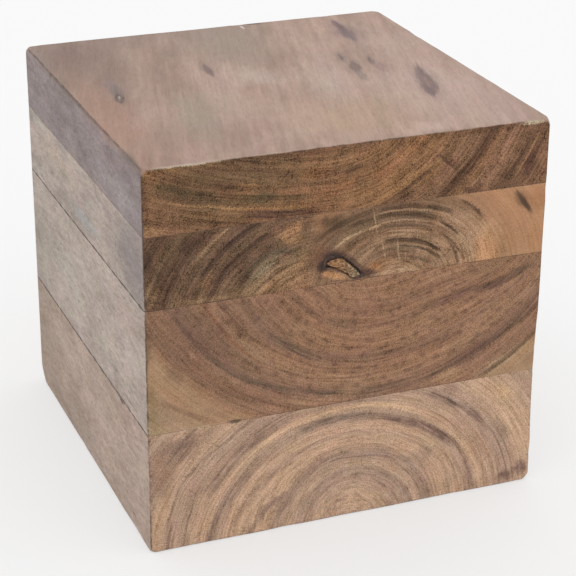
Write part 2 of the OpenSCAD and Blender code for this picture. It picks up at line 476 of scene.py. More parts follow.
def endGrain(tree, spot, figure):
    # sawn and sanded across the growth rings: bands, single rings, rays, pores and stains
    tones = figure["tones"]
    wobble = driftNoise(tree, spot, 1 / figure["wobbleLength"], 3.0, 0.5)
    wobble = add(tree, "VectorMath SCALE", {0: wobble, 3: figure["wobble"]})
    loose = add(tree, "VectorMath ADD", spot, wobble)
    across, along = ringField(tree, loose, figure)
    alongMm = add(tree, "Math MULTIPLY", along, figure["alongScale"])

    def ringNoise(name, start, size, shift=0.0):
        return crispNoise(tree, ringSpot(tree, start, alongMm, *size, shift), *endNoises[name])

    # rays run across the rings, and give every band a combed edge
    rays = ringNoise("rays", across, figure["rays"])
    combed = add(tree, "Math MULTIPLY_ADD", rays, figure["comb"], across)
    fineRings = ringNoise("fineRings", across, figure["fineRings"])
    midRings = ringNoise("midRings", combed, figure["midRings"], 7.0)

    # bands from the pith outwards
    start, end = figure["reach"]
    place = add(tree, "MapRange", combed, start, end)
    stops = [((at - start) / (end - start), tones[tone]) for at, tone in figure["bands"]]
    colour = add(tree, "ValToRGB", place, stops=stops)

    # stains and pale patches, placed across the board
    parts = add(tree, "SeparateXYZ", loose, out=None)
    flat = add(tree, "CombineXYZ", parts[0], parts[2])
    ragged = driftNoise(tree, spot, 1 / figure["raggedLength"], 3.0, 0.6)
    flat = add(tree, "VectorMath MULTIPLY_ADD", ragged, (figure["ragged"], figure["ragged"], 0.0), flat)
    stains = [((*centre, 0), (*halfSizes, 1), (0, 0, turn), tones[tone], strength)
              for centre, halfSizes, turn, tone, strength in figure["stains"]]
    colour = blotches(tree, colour, flat, stains, 0.2)

    # single rings, their strength broken up along the growth
    broken = ringNoise("breaks", across, figure["breaks"])
    broken = add(tree, "Math MULTIPLY_ADD", broken, figure["ringBreak"], figure["ringShow"])
    broken = add(tree, "Math MULTIPLY_ADD", fineRings, -figure["ringGrain"], broken)
    for fromAlong, toAlong, acrossFrom, acrossTo, halfWidth, tone, strength in figure["rings"]:
        fade = min(figure["fade"], (toAlong - fromAlong) / 2)
        show = add(tree, "Group", combed, along, fromAlong, toAlong, acrossFrom, acrossTo, halfWidth, fade,
                   node_tree=growthLine)
        colour = overlay(tree, colour, tones[tone], show, broken, strength)

    # rows of round pore clusters
    if "spots" in figure:
        spots = figure["spots"]
        cells = add(tree, "TexVoronoi", {
            "Vector": ringSpot(tree, across, alongMm, spots["rowPitch"], spots["pitch"]),
            "Scale": 1.0, "Randomness": spots["scatter"]}, voronoi_dimensions="2D")
        dots = add(tree, "MapRange SMOOTHSTEP", cells, spots["size"] * 0.3, spots["size"], 1.0, 0.0)
        within = add(tree, "MapRange", across, *spots["within"], 1.0, 0.0)
        colour = overlay(tree, colour, tones[spots["tone"]], dots, within, broken, spots["strength"])

    # drifts of hue along the rings
    hue = driftNoise(tree, ringSpot(tree, across, alongMm, *figure["hues"], 3.0), 1.0, 3.0, 0.6)
    strength = [figure["hueContrast"] * share for share in (1.0, 0.8, 1.1)]
    hue = add(tree, "VectorMath MULTIPLY_ADD", hue, strength, figure["tint"])

    # speckle, short dark pores and a mottle
    def freeNoise(name):
        small = add(tree, "VectorMath SCALE", {0: spot, 3: 1 / figure[name]})
        return crispNoise(tree, small, *endNoises[name])

    speckle, pores, mottle = freeNoise("speckle"), freeNoise("pores"), freeNoise("mottle")
    shade = 1.0
    for signal, amount in ((fineRings, figure["ringContrast"]), (midRings, figure["midContrast"]),
                           (rays, figure["rayContrast"]), (speckle, figure["speckleContrast"]),
                           (pores, -figure["poreContrast"]), (mottle, figure["mottleContrast"])):
        shade = add(tree, "Math MULTIPLY_ADD", signal, amount * figure["crispness"], shade)
    if "calm" in figure:
        near, far, least = figure["calm"]
        calm = add(tree, "MapRange", across, near, far, 1.0, least)
        shade = add(tree, "Math SUBTRACT", shade, 1.0)
        shade = add(tree, "Math MULTIPLY_ADD", shade, calm, 1.0)
    shade = add(tree, "Math MAXIMUM", shade, figure["darkest"])
    return colour, hue, shade


def longGrain(tree, spot, leaning, facing, depth, look):
    # planed and sanded along the grain: streaks, short vessel lines, weathered patches (on the top face
    # partly painted light, paler towards the front right) and worn arrises
    def drawnOut(wide, long, start=0.0):
        return add(tree, "VectorMath MULTIPLY_ADD", leaning, (1 / wide, 1 / long, 1 / wide), [start] * 3)

    def softNoise(size, detail, roughness):
        return add(tree, "TexNoise", {"Vector": drawnOut(*size), "Scale": 1.0, "Detail": detail,
                                      "Roughness": roughness})

    patches = softNoise(look["patches"], 4.0, 0.6)
    streaks = softNoise(look["streaks"], 3.0, 0.5)
    streaks = add(tree, "Math SUBTRACT", streaks, 0.5)
    patches = add(tree, "Math MULTIPLY_ADD", streaks, look["streakShare"], patches)
    onSide = add(tree, "Math ABSOLUTE", facing[0])
    onSide = add(tree, "MapRange", onSide, *look["sideFrom"])
    # the top and the sides each get their own tones: partly the wood's colour, partly painted light, with
    # the top's paler tones standing in for a painted sheen
    above = add(tree, "ValToRGB", patches, stops=look["above"])
    beside = add(tree, "ValToRGB", patches, stops=look["beside"])
    colour = add(tree, "Mix", {0: onSide, 6: above, 7: beside}, out=2, data_type="RGBA")

    ragged = driftNoise(tree, drawnOut(*look["ragged"]), 1.0, 4.0, 0.65)
    torn = add(tree, "VectorMath MULTIPLY_ADD", ragged, look["washPush"], spot)
    washes = [(centre, halfSizes, (0, 0, turn), tone, strength)
              for centre, halfSizes, turn, tone, strength in look["washes"]]
    colour = blotches(tree, colour, torn, washes, 0.0)

    hue = driftNoise(tree, drawnOut(*look["hues"]), 1.0, 3.0, 0.6)
    hue = add(tree, "VectorMath MULTIPLY_ADD", hue, [look["hueContrast"]] * 3, (1.0, 1.0, 1.0))

    if "knots" in look:
        fromAbove = add(tree, "MapRange", facing[2], *look["aboveFrom"])
        wisps = softNoise(look["wisps"], 3.0, 0.6)
        flat = add(tree, "VectorMath MULTIPLY_ADD", ragged, look["knotPush"], spot)
        for centre, halfSizes, turn, heart, rim, strength in look["knots"]:
            axes = placedAxes((*halfSizes, 1), (0, 0, turn))
            away = add(tree, "Group", flat, (*centre, 0), axes[0], axes[1], node_tree=spindle)
            away = add(tree, "Math MULTIPLY_ADD", wisps, look["wispShare"], away)
            away = add(tree, "Math SUBTRACT", away, look["wispShare"] / 2)
            for part, tone in (("halo", rim), ("rim", rim), ("heart", heart)):
                way, start, end, most = look["knotParts"][part]
                show = add(tree, "MapRange " + way, away, start, end, most, 0.0)
                colour = overlay(tree, colour, tone, show, fromAbove, strength)

    # the glue lines, and the arris towards the end grain
    parts = add(tree, "SeparateXYZ", spot, out=None)
    uneven = softNoise(look["uneven"], 3.0, 0.6)
    seamSpot = add(tree, "VectorMath MULTIPLY", spot, [1 / length for length in look["seamDrift"]])
    broad = add(tree, "TexNoise", {"Vector": seamSpot, "Scale": 1.0, "Detail": 4.0, "Roughness": 0.7})
    broad = add(tree, "MapRange", broad, 0.36, 0.66, *look["seamBreadth"])
    for height, halfWidth, tone, strength in look["seams"]:
        gap = add(tree, "Math SUBTRACT", parts[2], height)
        gap = add(tree, "Math ABSOLUTE", gap)
        gap = add(tree, "Math DIVIDE", gap, broad)
        show = add(tree, "MapRange", gap, halfWidth * 0.4, halfWidth, strength, 0.0)
        colour = overlay(tree, colour, tone, show)
    width = add(tree, "MapRange", uneven, 0.3, 0.7, *look["arrisWidth"])
    inward = add(tree, "Math DIVIDE", depth, width)
    show = add(tree, "MapRange", inward, 0.5, 1.0, look["arrisStrength"], 0.0)
    colour = overlay(tree, colour, look["arris"], show, onSide)

    shade = 0.0
    for wide, long, low, high, amount in look["strokes"]:
        stroke = crispNoise(tree, drawnOut(wide, long, wide * 7), low, high, 2.0, 0.6)
        shade = add(tree, "Math MULTIPLY_ADD", stroke, amount, shade)
    share = add(tree, "MapRange", onSide, 0.0, 1.0, look["strokesAbove"], 1.0)
    shade = add(tree, "Math MULTIPLY_ADD", shade, share, 1.0)
    return colour, hue, shade


def arrisDepth(tree, parts):
    # how far a spot on the surface lies from the nearest arris of the block, in mm
    gaps = []
    for axis in range(3):
        gap = add(tree, "Math SUBTRACT", parts[axis], (0.0, 0.0, block["halfSize"][2])[axis])
        gap = add(tree, "Math ABSOLUTE", gap)
        gaps.append(add(tree, "Math SUBTRACT", block["halfSize"][axis], gap))
    less = add(tree, "Math MINIMUM", gaps[0], gaps[1])
    more = add(tree, "Math MAXIMUM", gaps[0], gaps[1])
    more = add(tree, "Math MINIMUM", more, gaps[2])
    return add(tree, "Math MAXIMUM", less, more)


def timber(board):
    # the whole material of one board: end grain at the front and back, long grain on its other faces
    material = bpy.data.materials.new(board["material"])
    material.use_nodes = True
    tree = material.node_tree
    tree.nodes.clear()
    coordinates = add(tree, "TexCoord", out=None)
    spot = add(tree, "VectorMath SCALE", {0: coordinates["Object"], 3: 1 / mm})
    parts = add(tree, "SeparateXYZ", spot, out=None)
    depth = add(tree, "Math ADD", parts[1], block["halfSize"][1])
    leaning = []
    for rightwards, downwards in (board["figureLean"], board["grainLean"]):
        drift = add(tree, "CombineXYZ", -rightwards, 0.0, downwards)
        drift = add(tree, "VectorMath SCALE", {0: drift, 3: depth})
        leaning.append(add(tree, "VectorMath ADD", spot, drift))
    colour, hue, shade = endGrain(tree, leaning[0], board["figure"])

    def blended(share, first, second):
        # colour, hue and shade of two looks, mixed by a share
        return (add(tree, "Mix", {0: share, 6: first[0], 7: second[0]}, out=2, data_type="RGBA"),
                add(tree, "Mix", {0: share, 4: first[1], 5: second[1]}, out=1, data_type="VECTOR"),
                add(tree, "Mix", {0: share, 2: first[2], 3: second[2]}))

    for figure, border, softness in board.get("moreFigures", ()):
        other = endGrain(tree, leaning[0], figure)
        place = add(tree, "SeparateXYZ", leaning[0], out=None)
        beyond = add(tree, "MapRange SMOOTHSTEP", place[0], border - softness, border + softness)
        colour, hue, shade = blended(beyond, (colour, hue, shade), other)
    facing = add(tree, "SeparateXYZ", coordinates["Normal"], out=None)
    along = longGrain(tree, spot, leaning[1], facing, depth, board["longGrain"])
    towardsEnd = add(tree, "Math ABSOLUTE", facing[1])
    towardsEnd = add(tree, "MapRange SMOOTHSTEP", towardsEnd, *board["endFrom"])
    colour, hue, shade = blended(towardsEnd, along, (colour, hue, shade))

    # dirt and polish gathered on the arrises
    edge = arrisDepth(tree, parts)
    crumbs = add(tree, "TexNoise", {"Vector": spot, "Scale": 1 / wornArris["drift"], "Detail": 5.0,
                                    "Roughness": 0.7})
    width = add(tree, "MapRange", crumbs, 0.35, 0.65, *wornArris["width"])
    edge = add(tree, "Math DIVIDE", edge, width)
    show = add(tree, "MapRange", edge, 0.35, 1.0, wornArris["strength"], 0.0)
    colour = overlay(tree, colour, wornArris["tone"], show)

    # small placed marks in the wood: cracks, scratches, scuffs and dark flecks
    drift = driftNoise(tree, spot, 1 / board["markDrift"], 3.0, 0.65)
    torn = add(tree, "VectorMath MULTIPLY_ADD", drift, [board["markPush"]] * 3, spot)
    colour = blotches(tree, colour, torn, board["marks"], 0.35)
    colour = add(tree, "VectorMath MULTIPLY", colour, hue)
    warmShade = add(tree, "VectorMath MULTIPLY_ADD", shade, *board["warmth"])
    colour = add(tree, "VectorMath MULTIPLY", colour, warmShade)

    bump = add(tree, "Bump", {"Strength": board["bump"], "Distance": board["bumpHeight"], "Height": shade})
    shader = add(tree, "BsdfPrincipled", {
        "Base Color": colour, "Normal": bump, "Roughness": board["roughness"], "IOR": board["ior"],
        "Specular IOR Level": board["shine"]})
    add(tree, "OutputMaterial", {"Surface": shader}, out=None)
    material.diffuse_color = linearColour(board["figure"]["tones"]["tan"])
    return material


# values that every board starts from. The wood is a tropical hardwood, sawn, sanded by hand and waxed.
# To the eye it is satin with no coat: light and dark brown rings on the ends, and long faces that
# are paler and greyer, partly because dust and wax stay in the open grain and partly as painted light:
# the top face has its own paler tones that stand in for a sheen. Real pores, 0.1 to 0.3 mm wide,
# and rays, finer still, are drawn 0.75 to 1.7 mm wide, so that they show
plainBoard = {
    "figureLean": (0.08, 0.08),          # how far the rings move right and down for each mm of depth
    "grainLean": (0.27, 0.02),           # and how far the long grain does
    "endFrom": (0.55, 0.85),             # how much a face turns to the end before end grain shows on it
    "roughness": 0.55, "ior": 1.5, "shine": 0.22, "bump": 0.4, "bumpHeight": 0.0002,
    "markDrift": 3.0, "markPush": 1.6,
    # wood in shade is a warmer brown: blue falls off sooner than red
    "warmth": ((1.0, 1.09, 1.28), (0.0, -0.09, -0.28)),
}

# end grain: sizes in mm, across the rings before along them
plainFigure = {
    "wobble": 2.2, "wobbleLength": 20.0, "alongScale": 1.4, "fade": 6.0,
    "fineRings": (1.3, 26.0), "midRings": (4.2, 75.0), "rays": (4.0, 0.75), "breaks": (5.0, 9.0),
    "hues": (9.0, 22.0), "comb": 1.2, "ragged": 9.0, "raggedLength": 4.0,
    "speckle": 0.8, "pores": 1.7, "mottle": 9.0,
    "ringContrast": 0.3, "midContrast": 0.14, "rayContrast": 0.13, "speckleContrast": 0.32,
    "poreContrast": 0.2, "mottleContrast": 0.1, "hueContrast": 0.15, "crispness": 1.5, "darkest": 0.26,
    "ringShow": 0.85, "ringBreak": 0.6, "ringGrain": 0.35, "tint": (0.96, 0.95, 0.92),
}
# long grain: sizes in mm, across the grain before along it, and where the third number shifts the noise
weathered = {
    "patches": (26, 60), "streaks": (7, 90), "streakShare": 0.7, "sideFrom": (0.55, 0.85),
    "ragged": (9, 30, 5.0), "washPush": (24.0, 60.0, 16.0), "hues": (12, 40, 9.0), "hueContrast": 0.12,
    "aboveFrom": (0.6, 0.9), "wisps": (1.2, 16, 2.0), "wispShare": 1.1, "knotPush": (5.0, 16.0, 0.0),
    # how a knot shows from its middle outwards: where each part fades out, and its strength
    "knotParts": {"halo": ("LINEAR", 0.8, 2.4, 0.3), "rim": ("SMOOTHSTEP", 0.55, 1.3, 1.0),
                  "heart": ("SMOOTHSTEP", 0.0, 0.75, 1.0)},
    "uneven": (3, 9, 4.0), "seamDrift": (9, 7, 40), "seamBreadth": (0.25, 1.6), "arrisStrength": 0.8,
    # strokes: width and length of the noise, the part of it that is stretched out, and the strength
    "strokes": [(1.5, 26.0, 0.34, 0.66, 0.2), (3.4, 70.0, 0.34, 0.66, 0.2), (0.9, 7.0, 0.36, 0.64, 0.18),
                (0.9, 1.8, 0.38, 0.62, 0.16), (1.2, 9.0, 0.58, 0.68, -0.26),
                (2.6, 16.0, 0.56, 0.68, -0.2)],
    "strokesAbove": 0.42,
}
# the arrises of the block, rubbed dark by hands and dirt
wornArris = {"width": (0.5, 1.7), "drift": 7, "tone": "#43362C", "strength": 0.75}

# In a figure, stretch multiplies the distance from the pith to the left, to the right and upwards. Bands
# are (mm from the pith, tone); rings are (from and to in degrees, mm from the pith at each, half width,
# tone, strength); stains are (centre x and z, half sizes, turn, tone, strength). A bend pushes the rings
# outwards by a curve along them, and calm weakens the pattern between two distances from the pith.
# Washes and marks are placed as stains are, with x, y and z. Seams are (height, half width, tone,
# strength), and knots are (centre x and y, half sizes, turn, heart, rim, strength).

# a pale board from near the middle of a tree: wide half rings, knocked dark at its corners
bottomBoard = {
    **plainBoard,
    "piece": "bottomTimber", "node": "bottom_board", "slot": "bottom_timber",
    "material": "timberBottomSandedWaxed",
    "figure": {
        **plainFigure,
        "pith": (-1.0, -5.0), "stretch": (1.0, 1.0, 1.16), "reach": (0.0, 180.0),
        "ringBreak": 0.95,
        "tones": {"umber": "#69544A", "slate": "#7A6558", "greyBrown": "#866C5D", "plum": "#85695D",
                  "rust": "#A27A5C", "straw": "#CCA884", "olive": "#9C876C", "sand": "#C8A688",
                  "corner": "#74584E", "darkPlum": "#72584D", "blond": "#BD9B80", "honey": "#B7987F",
                  "tan": "#B3937B", "fawn": "#AF917D", "nut": "#AA8C77", "cocoa": "#A48876"},
        "bend": {"from": 60.0, "to": 180.0, "least": 0.0, "most": 12.0, "none": 74.0, "full": 56.0,
                 "points": [(0.0, 0.0), (0.3, 0.05), (0.5, 0.38), (0.63, 0.62), (0.75, 0.78),
                            (1.0, 0.85)]},
        "bands": [(0, "nut"), (10, "fawn"), (16, "tan"), (21, "nut"), (25, "honey"), (36, "fawn"),
                  (43, "cocoa"), (47, "honey"), (52, "nut"), (56, "cocoa"), (60, "tan"), (66, "blond"),
                  (71, "tan"), (77, "blond"), (82, "nut"), (87, "nut"), (91, "blond"), (95, "tan"),
                  (100, "tan"), (105, "nut"), (111, "fawn"), (118, "tan"), (127, "blond"), (140, "tan"),
                  (150, "nut"), (165, "tan"), (180, "nut")],
        "rings": [
            # the strong dark ring
            (2, 36, 85.5, 86.8, 1.8, "greyBrown", 0.8), (30, 66, 86.2, 81.8, 4.4, "darkPlum", 0.85),
            (60, 84, 82.2, 83, 3.8, "darkPlum", 0.85), (78, 114, 83, 86.5, 4.4, "slate", 0.8),
            (136, 182, 81, 90, 4.2, "plum", 0.55), (160, 182, 86, 88, 2.0, "umber", 0.6),
            (60, 128, 91.5, 93, 2.4, "straw", 0.6), (4, 50, 92, 90, 1.8, "straw", 0.4),
            (6, 60, 95.8, 94.4, 0.9, "rust", 0.6), (2, 34, 101.5, 101.5, 0.9, "rust", 0.5),
            # the broken one outside it
            (24, 36, 103.4, 108.4, 3.4, "greyBrown", 0.75), (31, 48, 109.2, 109, 3.8, "darkPlum", 0.7),
            (43, 62, 106.4, 106.4, 3.8, "umber", 0.75), (20, 34, 117, 117.5, 2.6, "greyBrown", 0.6),
            (2, 32, 115, 114.2, 0.9, "plum", 0.6), (2, 34, 111, 111, 0.9, "plum", 0.5),
            (30, 54, 116, 112, 0.9, "rust", 0.5), (12, 52, 124, 122, 1.4, "sand", 0.6),
            # inner rings
            (6, 28, 57, 57, 3.0, "plum", 0.55), (6, 46, 52.5, 51, 1.1, "umber", 0.5),
            (40, 70, 58.5, 57, 1.8, "plum", 0.4), (50, 82, 55.5, 52.4, 1.3, "plum", 0.6),
            (76, 104, 52.5, 53.2, 1.3, "umber", 0.6), (86, 112, 55.5, 58, 2.4, "greyBrown", 0.65),
            (100, 160, 57, 58, 3.8, "greyBrown", 0.42), (136, 156, 59.5, 64.5, 2.6, "plum", 0.75),
            (146, 178, 63.5, 70, 1.3, "plum", 0.6), (142, 176, 53.5, 60, 1.4, "plum", 0.6),
            (4, 28, 77, 78, 1.0, "plum", 0.6), (24, 62, 78, 73, 1.0, "plum", 0.5),
            (74, 98, 71, 73, 0.9, "plum", 0.5), (94, 130, 73.5, 69, 0.9, "plum", 0.5),
            (126, 182, 70, 77, 1.1, "plum", 0.55), (130, 182, 68, 73.5, 1.4, "sand", 0.5),
            (4, 30, 44.5, 44.5, 2.2, "plum", 0.5), (42, 66, 43, 41.5, 2.0, "greyBrown", 0.45),
            (54, 84, 40, 37.4, 1.5, "greyBrown", 0.5), (10, 56, 36.8, 34.5, 0.9, "plum", 0.5),
            (98, 170, 35.4, 38.4, 1.6, "greyBrown", 0.45), (84, 160, 18.6, 27, 1.2, "plum", 0.6),
            (8, 26, 30, 30, 4.0, "plum", 0.45),
            # outer rings on the left
            (116, 136, 114.5, 111.4, 1.4, "plum", 0.6), (130, 153, 111.2, 118.6, 1.7, "umber", 0.55),
            (149, 182, 118.6, 113.4, 1.1, "plum", 0.6), (164, 182, 114.2, 112.8, 1.3, "umber", 0.6),
            (106, 156, 100, 98, 6.0, "greyBrown", 0.7), (116, 138, 99, 95.6, 1.8, "plum", 0.6),
            (148, 182, 106.6, 103, 1.0, "plum", 0.55), (156, 182, 104.4, 103.4, 0.8, "umber", 0.4),
            (126, 150, 125, 130, 4.0, "plum", 0.5), (126, 150, 137, 134, 2.4, "umber", 0.4),
            (150, 182, 123, 121, 2.5, "rust", 0.4),
        ],
        "stains": [((107.5, 6.5), (8, 6), 10, "corner", 0.9), ((118.5, 10), (7, 9), 20, "corner", 0.8),
                   ((105, 36), (4, 11), -25, "olive", 0.6), ((-108, 68), (17, 6), 12, "plum", 0.45),
                   ((-110, 64), (20, 14), 0, "umber", 0.4), ((-117, 48), (11, 22), 0, "greyBrown", 0.7),
                   ((-101, 70), (16, 3.5), 42, "umber", 0.55), ((-51, 17), (14, 4), 38, "plum", 0.7),
                   ((6, 76.5), (44, 5), 0, "greyBrown", 0.45), ((68, 75), (11, 5), 0, "greyBrown", 0.5),
                   ((-118, 55), (10, 16), 0, "rust", 0.3), ((-107, 32), (6, 16), -14, "olive", 0.35),
                   ((104, 67), (13, 8), -35, "straw", 0.5), ((4, 10), (26, 7), 0, "sand", 0.45),
                   ((70, 10), (14, 8), 0, "olive", 0.25), ((-124, 40), (3.6, 34), 0, "umber", 0.45),
                   ((50, 32), (11, 7), 0, "greyBrown", 0.4), ((-6, 3), (56, 4.5), 0, "sand", 0.35),
                   ((-88, 12), (7, 6), 0, "straw", 0.35)],
    },
    "longGrain": {
        **weathered,
        "above": [(0.3, "#967E6E"), (0.5, "#A38B7A"), (0.7, "#AF9886")],
        "beside": [(0.3, "#947D6E"), (0.5, "#A08B7C"), (0.7, "#AA9485")],
        "washes": [((-125, -20, 79), (30, 80, 5), 0, "#806A5C", 0.6),
                   ((-125, 70, 8), (30, 76, 10), 0, "#826F60", 0.75),
                   ((-125, -80, 40), (30, 60, 30), 0, "#AC998A", 0.4),
                   ((-125, 118, 44), (30, 80, 70), 0, "#83715F", 0.65),
                   ((-125, 20, 14), (30, 70, 24), 0, "#8F7D70", 0.5)],
        "seams": [(78.0, 1.1, "#54423A", 0.9)],
        "arris": "#7E6857", "arrisWidth": (0.6, 2.2),
    },
    "marks": [
        ((-71.5, -125, 77.5), (6, 6, 0.9), (0, 0, 0), "#4A4034", 0.8),
        ((-125, -73, 76.2), (4, 5, 1.7), (0, 0, 0), "#463730", 0.9),
        ((-125, -92, 9), (4, 5, 1.2), (0, 0, 0), "#5A4A42", 0.6),
        ((-125, -104, 60), (4, 12, 1.1), (-4, 0, 0), "#857264", 0.5),
        ((-125, 40, 66), (4, 20, 1.3), (-3, 0, 0), "#897668", 0.5),
        ((-125, -30, 22), (4, 24, 1.5), (3, 0, 0), "#8C7A6C", 0.4),
        ((-125, -88, 34), (4, 7, 1.0), (0, 0, 0), "#857264", 0.5),
    ],
}

# heartwood with sapwood at both lower corners: rows of pore clusters give it dotted rings
lowerBoard = {
    **plainBoard,
    "piece": "lowerTimber", "node": "lower_board", "slot": "lower_timber",
    "material": "timberLowerSandedWaxed",
    "figure": {
        **plainFigure,
        "alongScale": 2.0, "crispness": 1.9, "tint": (0.92, 0.85, 0.75),
        "pith": (15.0, 225.0), "stretch": (1.0, 1.0, 1.0), "reach": (60.0, 190.0),
        "bend": {"from": -140.0, "to": -30.0, "least": -30.0, "most": 30.0, "none": 145.0, "full": 100.0,
                 "points": [(0.0, 0.75), (0.12, 0.69), (0.25, 0.6), (0.33, 0.53), (0.48, 0.51),
                            (0.7, 0.49), (0.82, 0.35), (0.92, 0.15), (1.0, 0.05)]},
        "calm": (159, 168, 0.5), "mottleContrast": 0.15, "ringContrast": 0.24,
        "tones": {"umber": "#5C473B", "slate": "#645345", "greyBrown": "#71594B", "plum": "#6E5247",
                  "rust": "#8E5F45", "straw": "#B08F70", "pale": "#B69A80", "olive": "#84704F",
                  "sand": "#A5846A", "blond": "#A98B71", "honey": "#A28D75", "tan": "#997961",
                  "fawn": "#93715A", "nut": "#8C6D59", "cocoa": "#876753", "bark": "#806355"},
        "bands": [(60, "fawn"), (84, "fawn"), (90, "cocoa"), (95, "fawn"), (100, "cocoa"), (104, "fawn"),
                  (116, "fawn"), (121, "nut"), (127, "fawn"), (133, "tan"), (139, "nut"), (144, "bark"),
                  (150, "nut"), (155, "cocoa"), (160, "nut"), (164, "tan"), (168, "blond"),
                  (177, "blond"), (190, "honey")],
        "rings": [
            (-152, -134, 143.6, 145.4, 1.4, "umber", 0.7), (-140, -122, 145.4, 145.6, 2.0, "slate", 0.85),
            (-127, -108, 145.8, 142.2, 2.3, "slate", 1.0), (-112, -94, 142.8, 141, 2.2, "slate", 0.85),
            (-98, -76, 141.6, 143.5, 4.4, "greyBrown", 0.7), (-80, -60, 145, 143.4, 2.2, "umber", 0.8),
            (-66, -40, 143.6, 150.4, 2.4, "umber", 0.9), (-74, -50, 140.6, 143.8, 1.0, "plum", 0.6),
            (-84, -44, 133.8, 138, 0.9, "plum", 0.3), (-120, -84, 135, 131, 1.1, "plum", 0.5),
            (-152, -120, 131.6, 136, 1.0, "rust", 0.5), (-150, -122, 129.8, 131.8, 2.4, "sand", 0.35),
            (-128, -106, 123.6, 121.4, 3.2, "slate", 0.85), (-112, -86, 120, 118.3, 3.4, "plum", 0.5),
            (-92, -60, 118.3, 127.5, 3.4, "plum", 0.45), (-60, -38, 126, 131, 1.2, "plum", 0.35),
            (-130, -106, 100.6, 100.8, 1.0, "umber", 0.5), (-110, -94, 99.5, 99.5, 3.2, "greyBrown", 0.6),
            (-96, -80, 101, 101.2, 0.9, "umber", 0.55), (-80, -62, 102.4, 101.6, 1.2, "plum", 0.45),
            (-70, -50, 100.4, 103.6, 4.4, "plum", 0.95), (-56, -34, 102.4, 118, 6.0, "umber", 0.95),
            (-54, -40, 106.5, 113, 2.6, "plum", 0.7), (-138, -123, 182.5, 175.5, 2.4, "greyBrown", 0.6),
            (-150, -120, 159.5, 157, 3.6, "greyBrown", 0.5), (-144, -134, 154, 154, 2.6, "plum", 0.4),
            (-126, -104, 155.5, 151.6, 2.4, "plum", 0.4), (-66, -36, 162.4, 162.8, 2.4, "umber", 0.7),
            (-62, -36, 168.5, 168.5, 3.4, "straw", 0.75), (-60, -36, 175, 175, 3.0, "slate", 0.3),
            (-100, -56, 93.8, 92, 0.9, "plum", 0.35), (-74, -42, 84.6, 84.6, 0.9, "sand", 0.35),
            (-110, -70, 112.4, 110.6, 0.9, "sand", 0.35), (-70, -40, 109.4, 117, 1.1, "sand", 0.4),
        ],
        "spots": {"pitch": 8.6, "rowPitch": 7.4, "size": 0.31, "scatter": 0.8, "strength": 0.62,
                  "tone": "plum", "within": (138, 154)},
        "stains": [((88, 84), (5, 4), 30, "plum", 0.5), ((-108, 81), (18, 5), 0, "pale", 0.6),
                   ((-80, 84), (12, 7), 34, "sand", 0.5), ((-123, 100), (5, 22), 8, "olive", 0.45),
                   ((-78, 140), (66, 36), -14, "greyBrown", 0.5),
                   ((103, 86.5), (27, 8), 28, "pale", 0.65), ((66, 84), (17, 8), 8, "sand", 0.55),
                   ((113, 85), (9, 6), 10, "pale", 0.6), ((-108, 113), (10, 7), -50, "greyBrown", 0.4),
                   ((106, 106), (10, 6), 40, "sand", 0.4), ((-98, 124), (5, 2.4), -45, "sand", 0.35),
                   ((27, 150), (2.4, 1.6), 20, "rust", 0.5), ((-8, 82), (54, 4), 0, "sand", 0.45),
                   ((10, 84), (170, 6), 0, "sand", 0.32), ((64, 86), (12, 5), 0, "sand", 0.4),
                   ((-124, 134), (3.4, 20), 0, "umber", 0.5)],
    },
    "longGrain": {
        **weathered,
        "above": [(0.3, "#9A897A"), (0.5, "#A99585"), (0.7, "#B5A08E")],
        "beside": [(0.3, "#948477"), (0.5, "#A19185"), (0.7, "#AC9C8F")],
        "washes": [((-125, 50, 118), (30, 80, 24), 0, "#9D978B", 0.4),
                   ((-125, -90, 138), (30, 36, 16), 0, "#B09A8D", 0.5),
                   ((-125, -60, 92), (30, 60, 7), 0, "#94867A", 0.6),
                   ((-125, 124, 112), (30, 90, 70), 0, "#857A6D", 0.6)],
        "seams": [(78.0, 1.0, "#54423A", 0.9), (156.0, 0.9, "#4E443B", 0.95)],
        "arris": "#5C4838", "arrisWidth": (0.6, 2.4),
    },
    "marks": [
        ((-71.5, -125, 78.6), (6, 6, 0.9), (0, 0, 0), "#4A4034", 0.8),
        ((-92, -125, 78.4), (16, 6, 0.7), (0, 0, 0), "#BBA78E", 0.6),
        ((-125, -62, 93), (4, 11, 2.0), (-3, 0, 0), "#7D6C60", 0.65),
        ((-125, -100, 99), (4, 9, 1.6), (0, 0, 0), "#7F6C5F", 0.5),
        ((-125, -88, 84), (4, 13, 1.5), (4, 0, 0), "#84705F", 0.65),
        ((-125, -8, 91), (4, 7, 1.2), (0, 0, 0), "#84746A", 0.55),
        ((-125, -102, 92), (4, 8, 1.2), (6, 0, 0), "#BFAFA3", 0.6),
        ((-125, -50, 86), (4, 14, 1.0), (3, 0, 0), "#BDAEA2", 0.55),
        ((-125, -76, 104), (4, 10, 1.0), (-4, 0, 0), "#BDAEA2", 0.5),
        ((-125, 44, 110), (4, 16, 1.2), (6, 0, 0), "#BAB3AA", 0.45),
        ((-125, 88, 88), (4, 14, 1.4), (0, 0, 0), "#86786C", 0.5),
        ((-125, 72, 147), (4, 16, 1.0), (0, 0, 0), "#8E8277", 0.5),
    ],
}

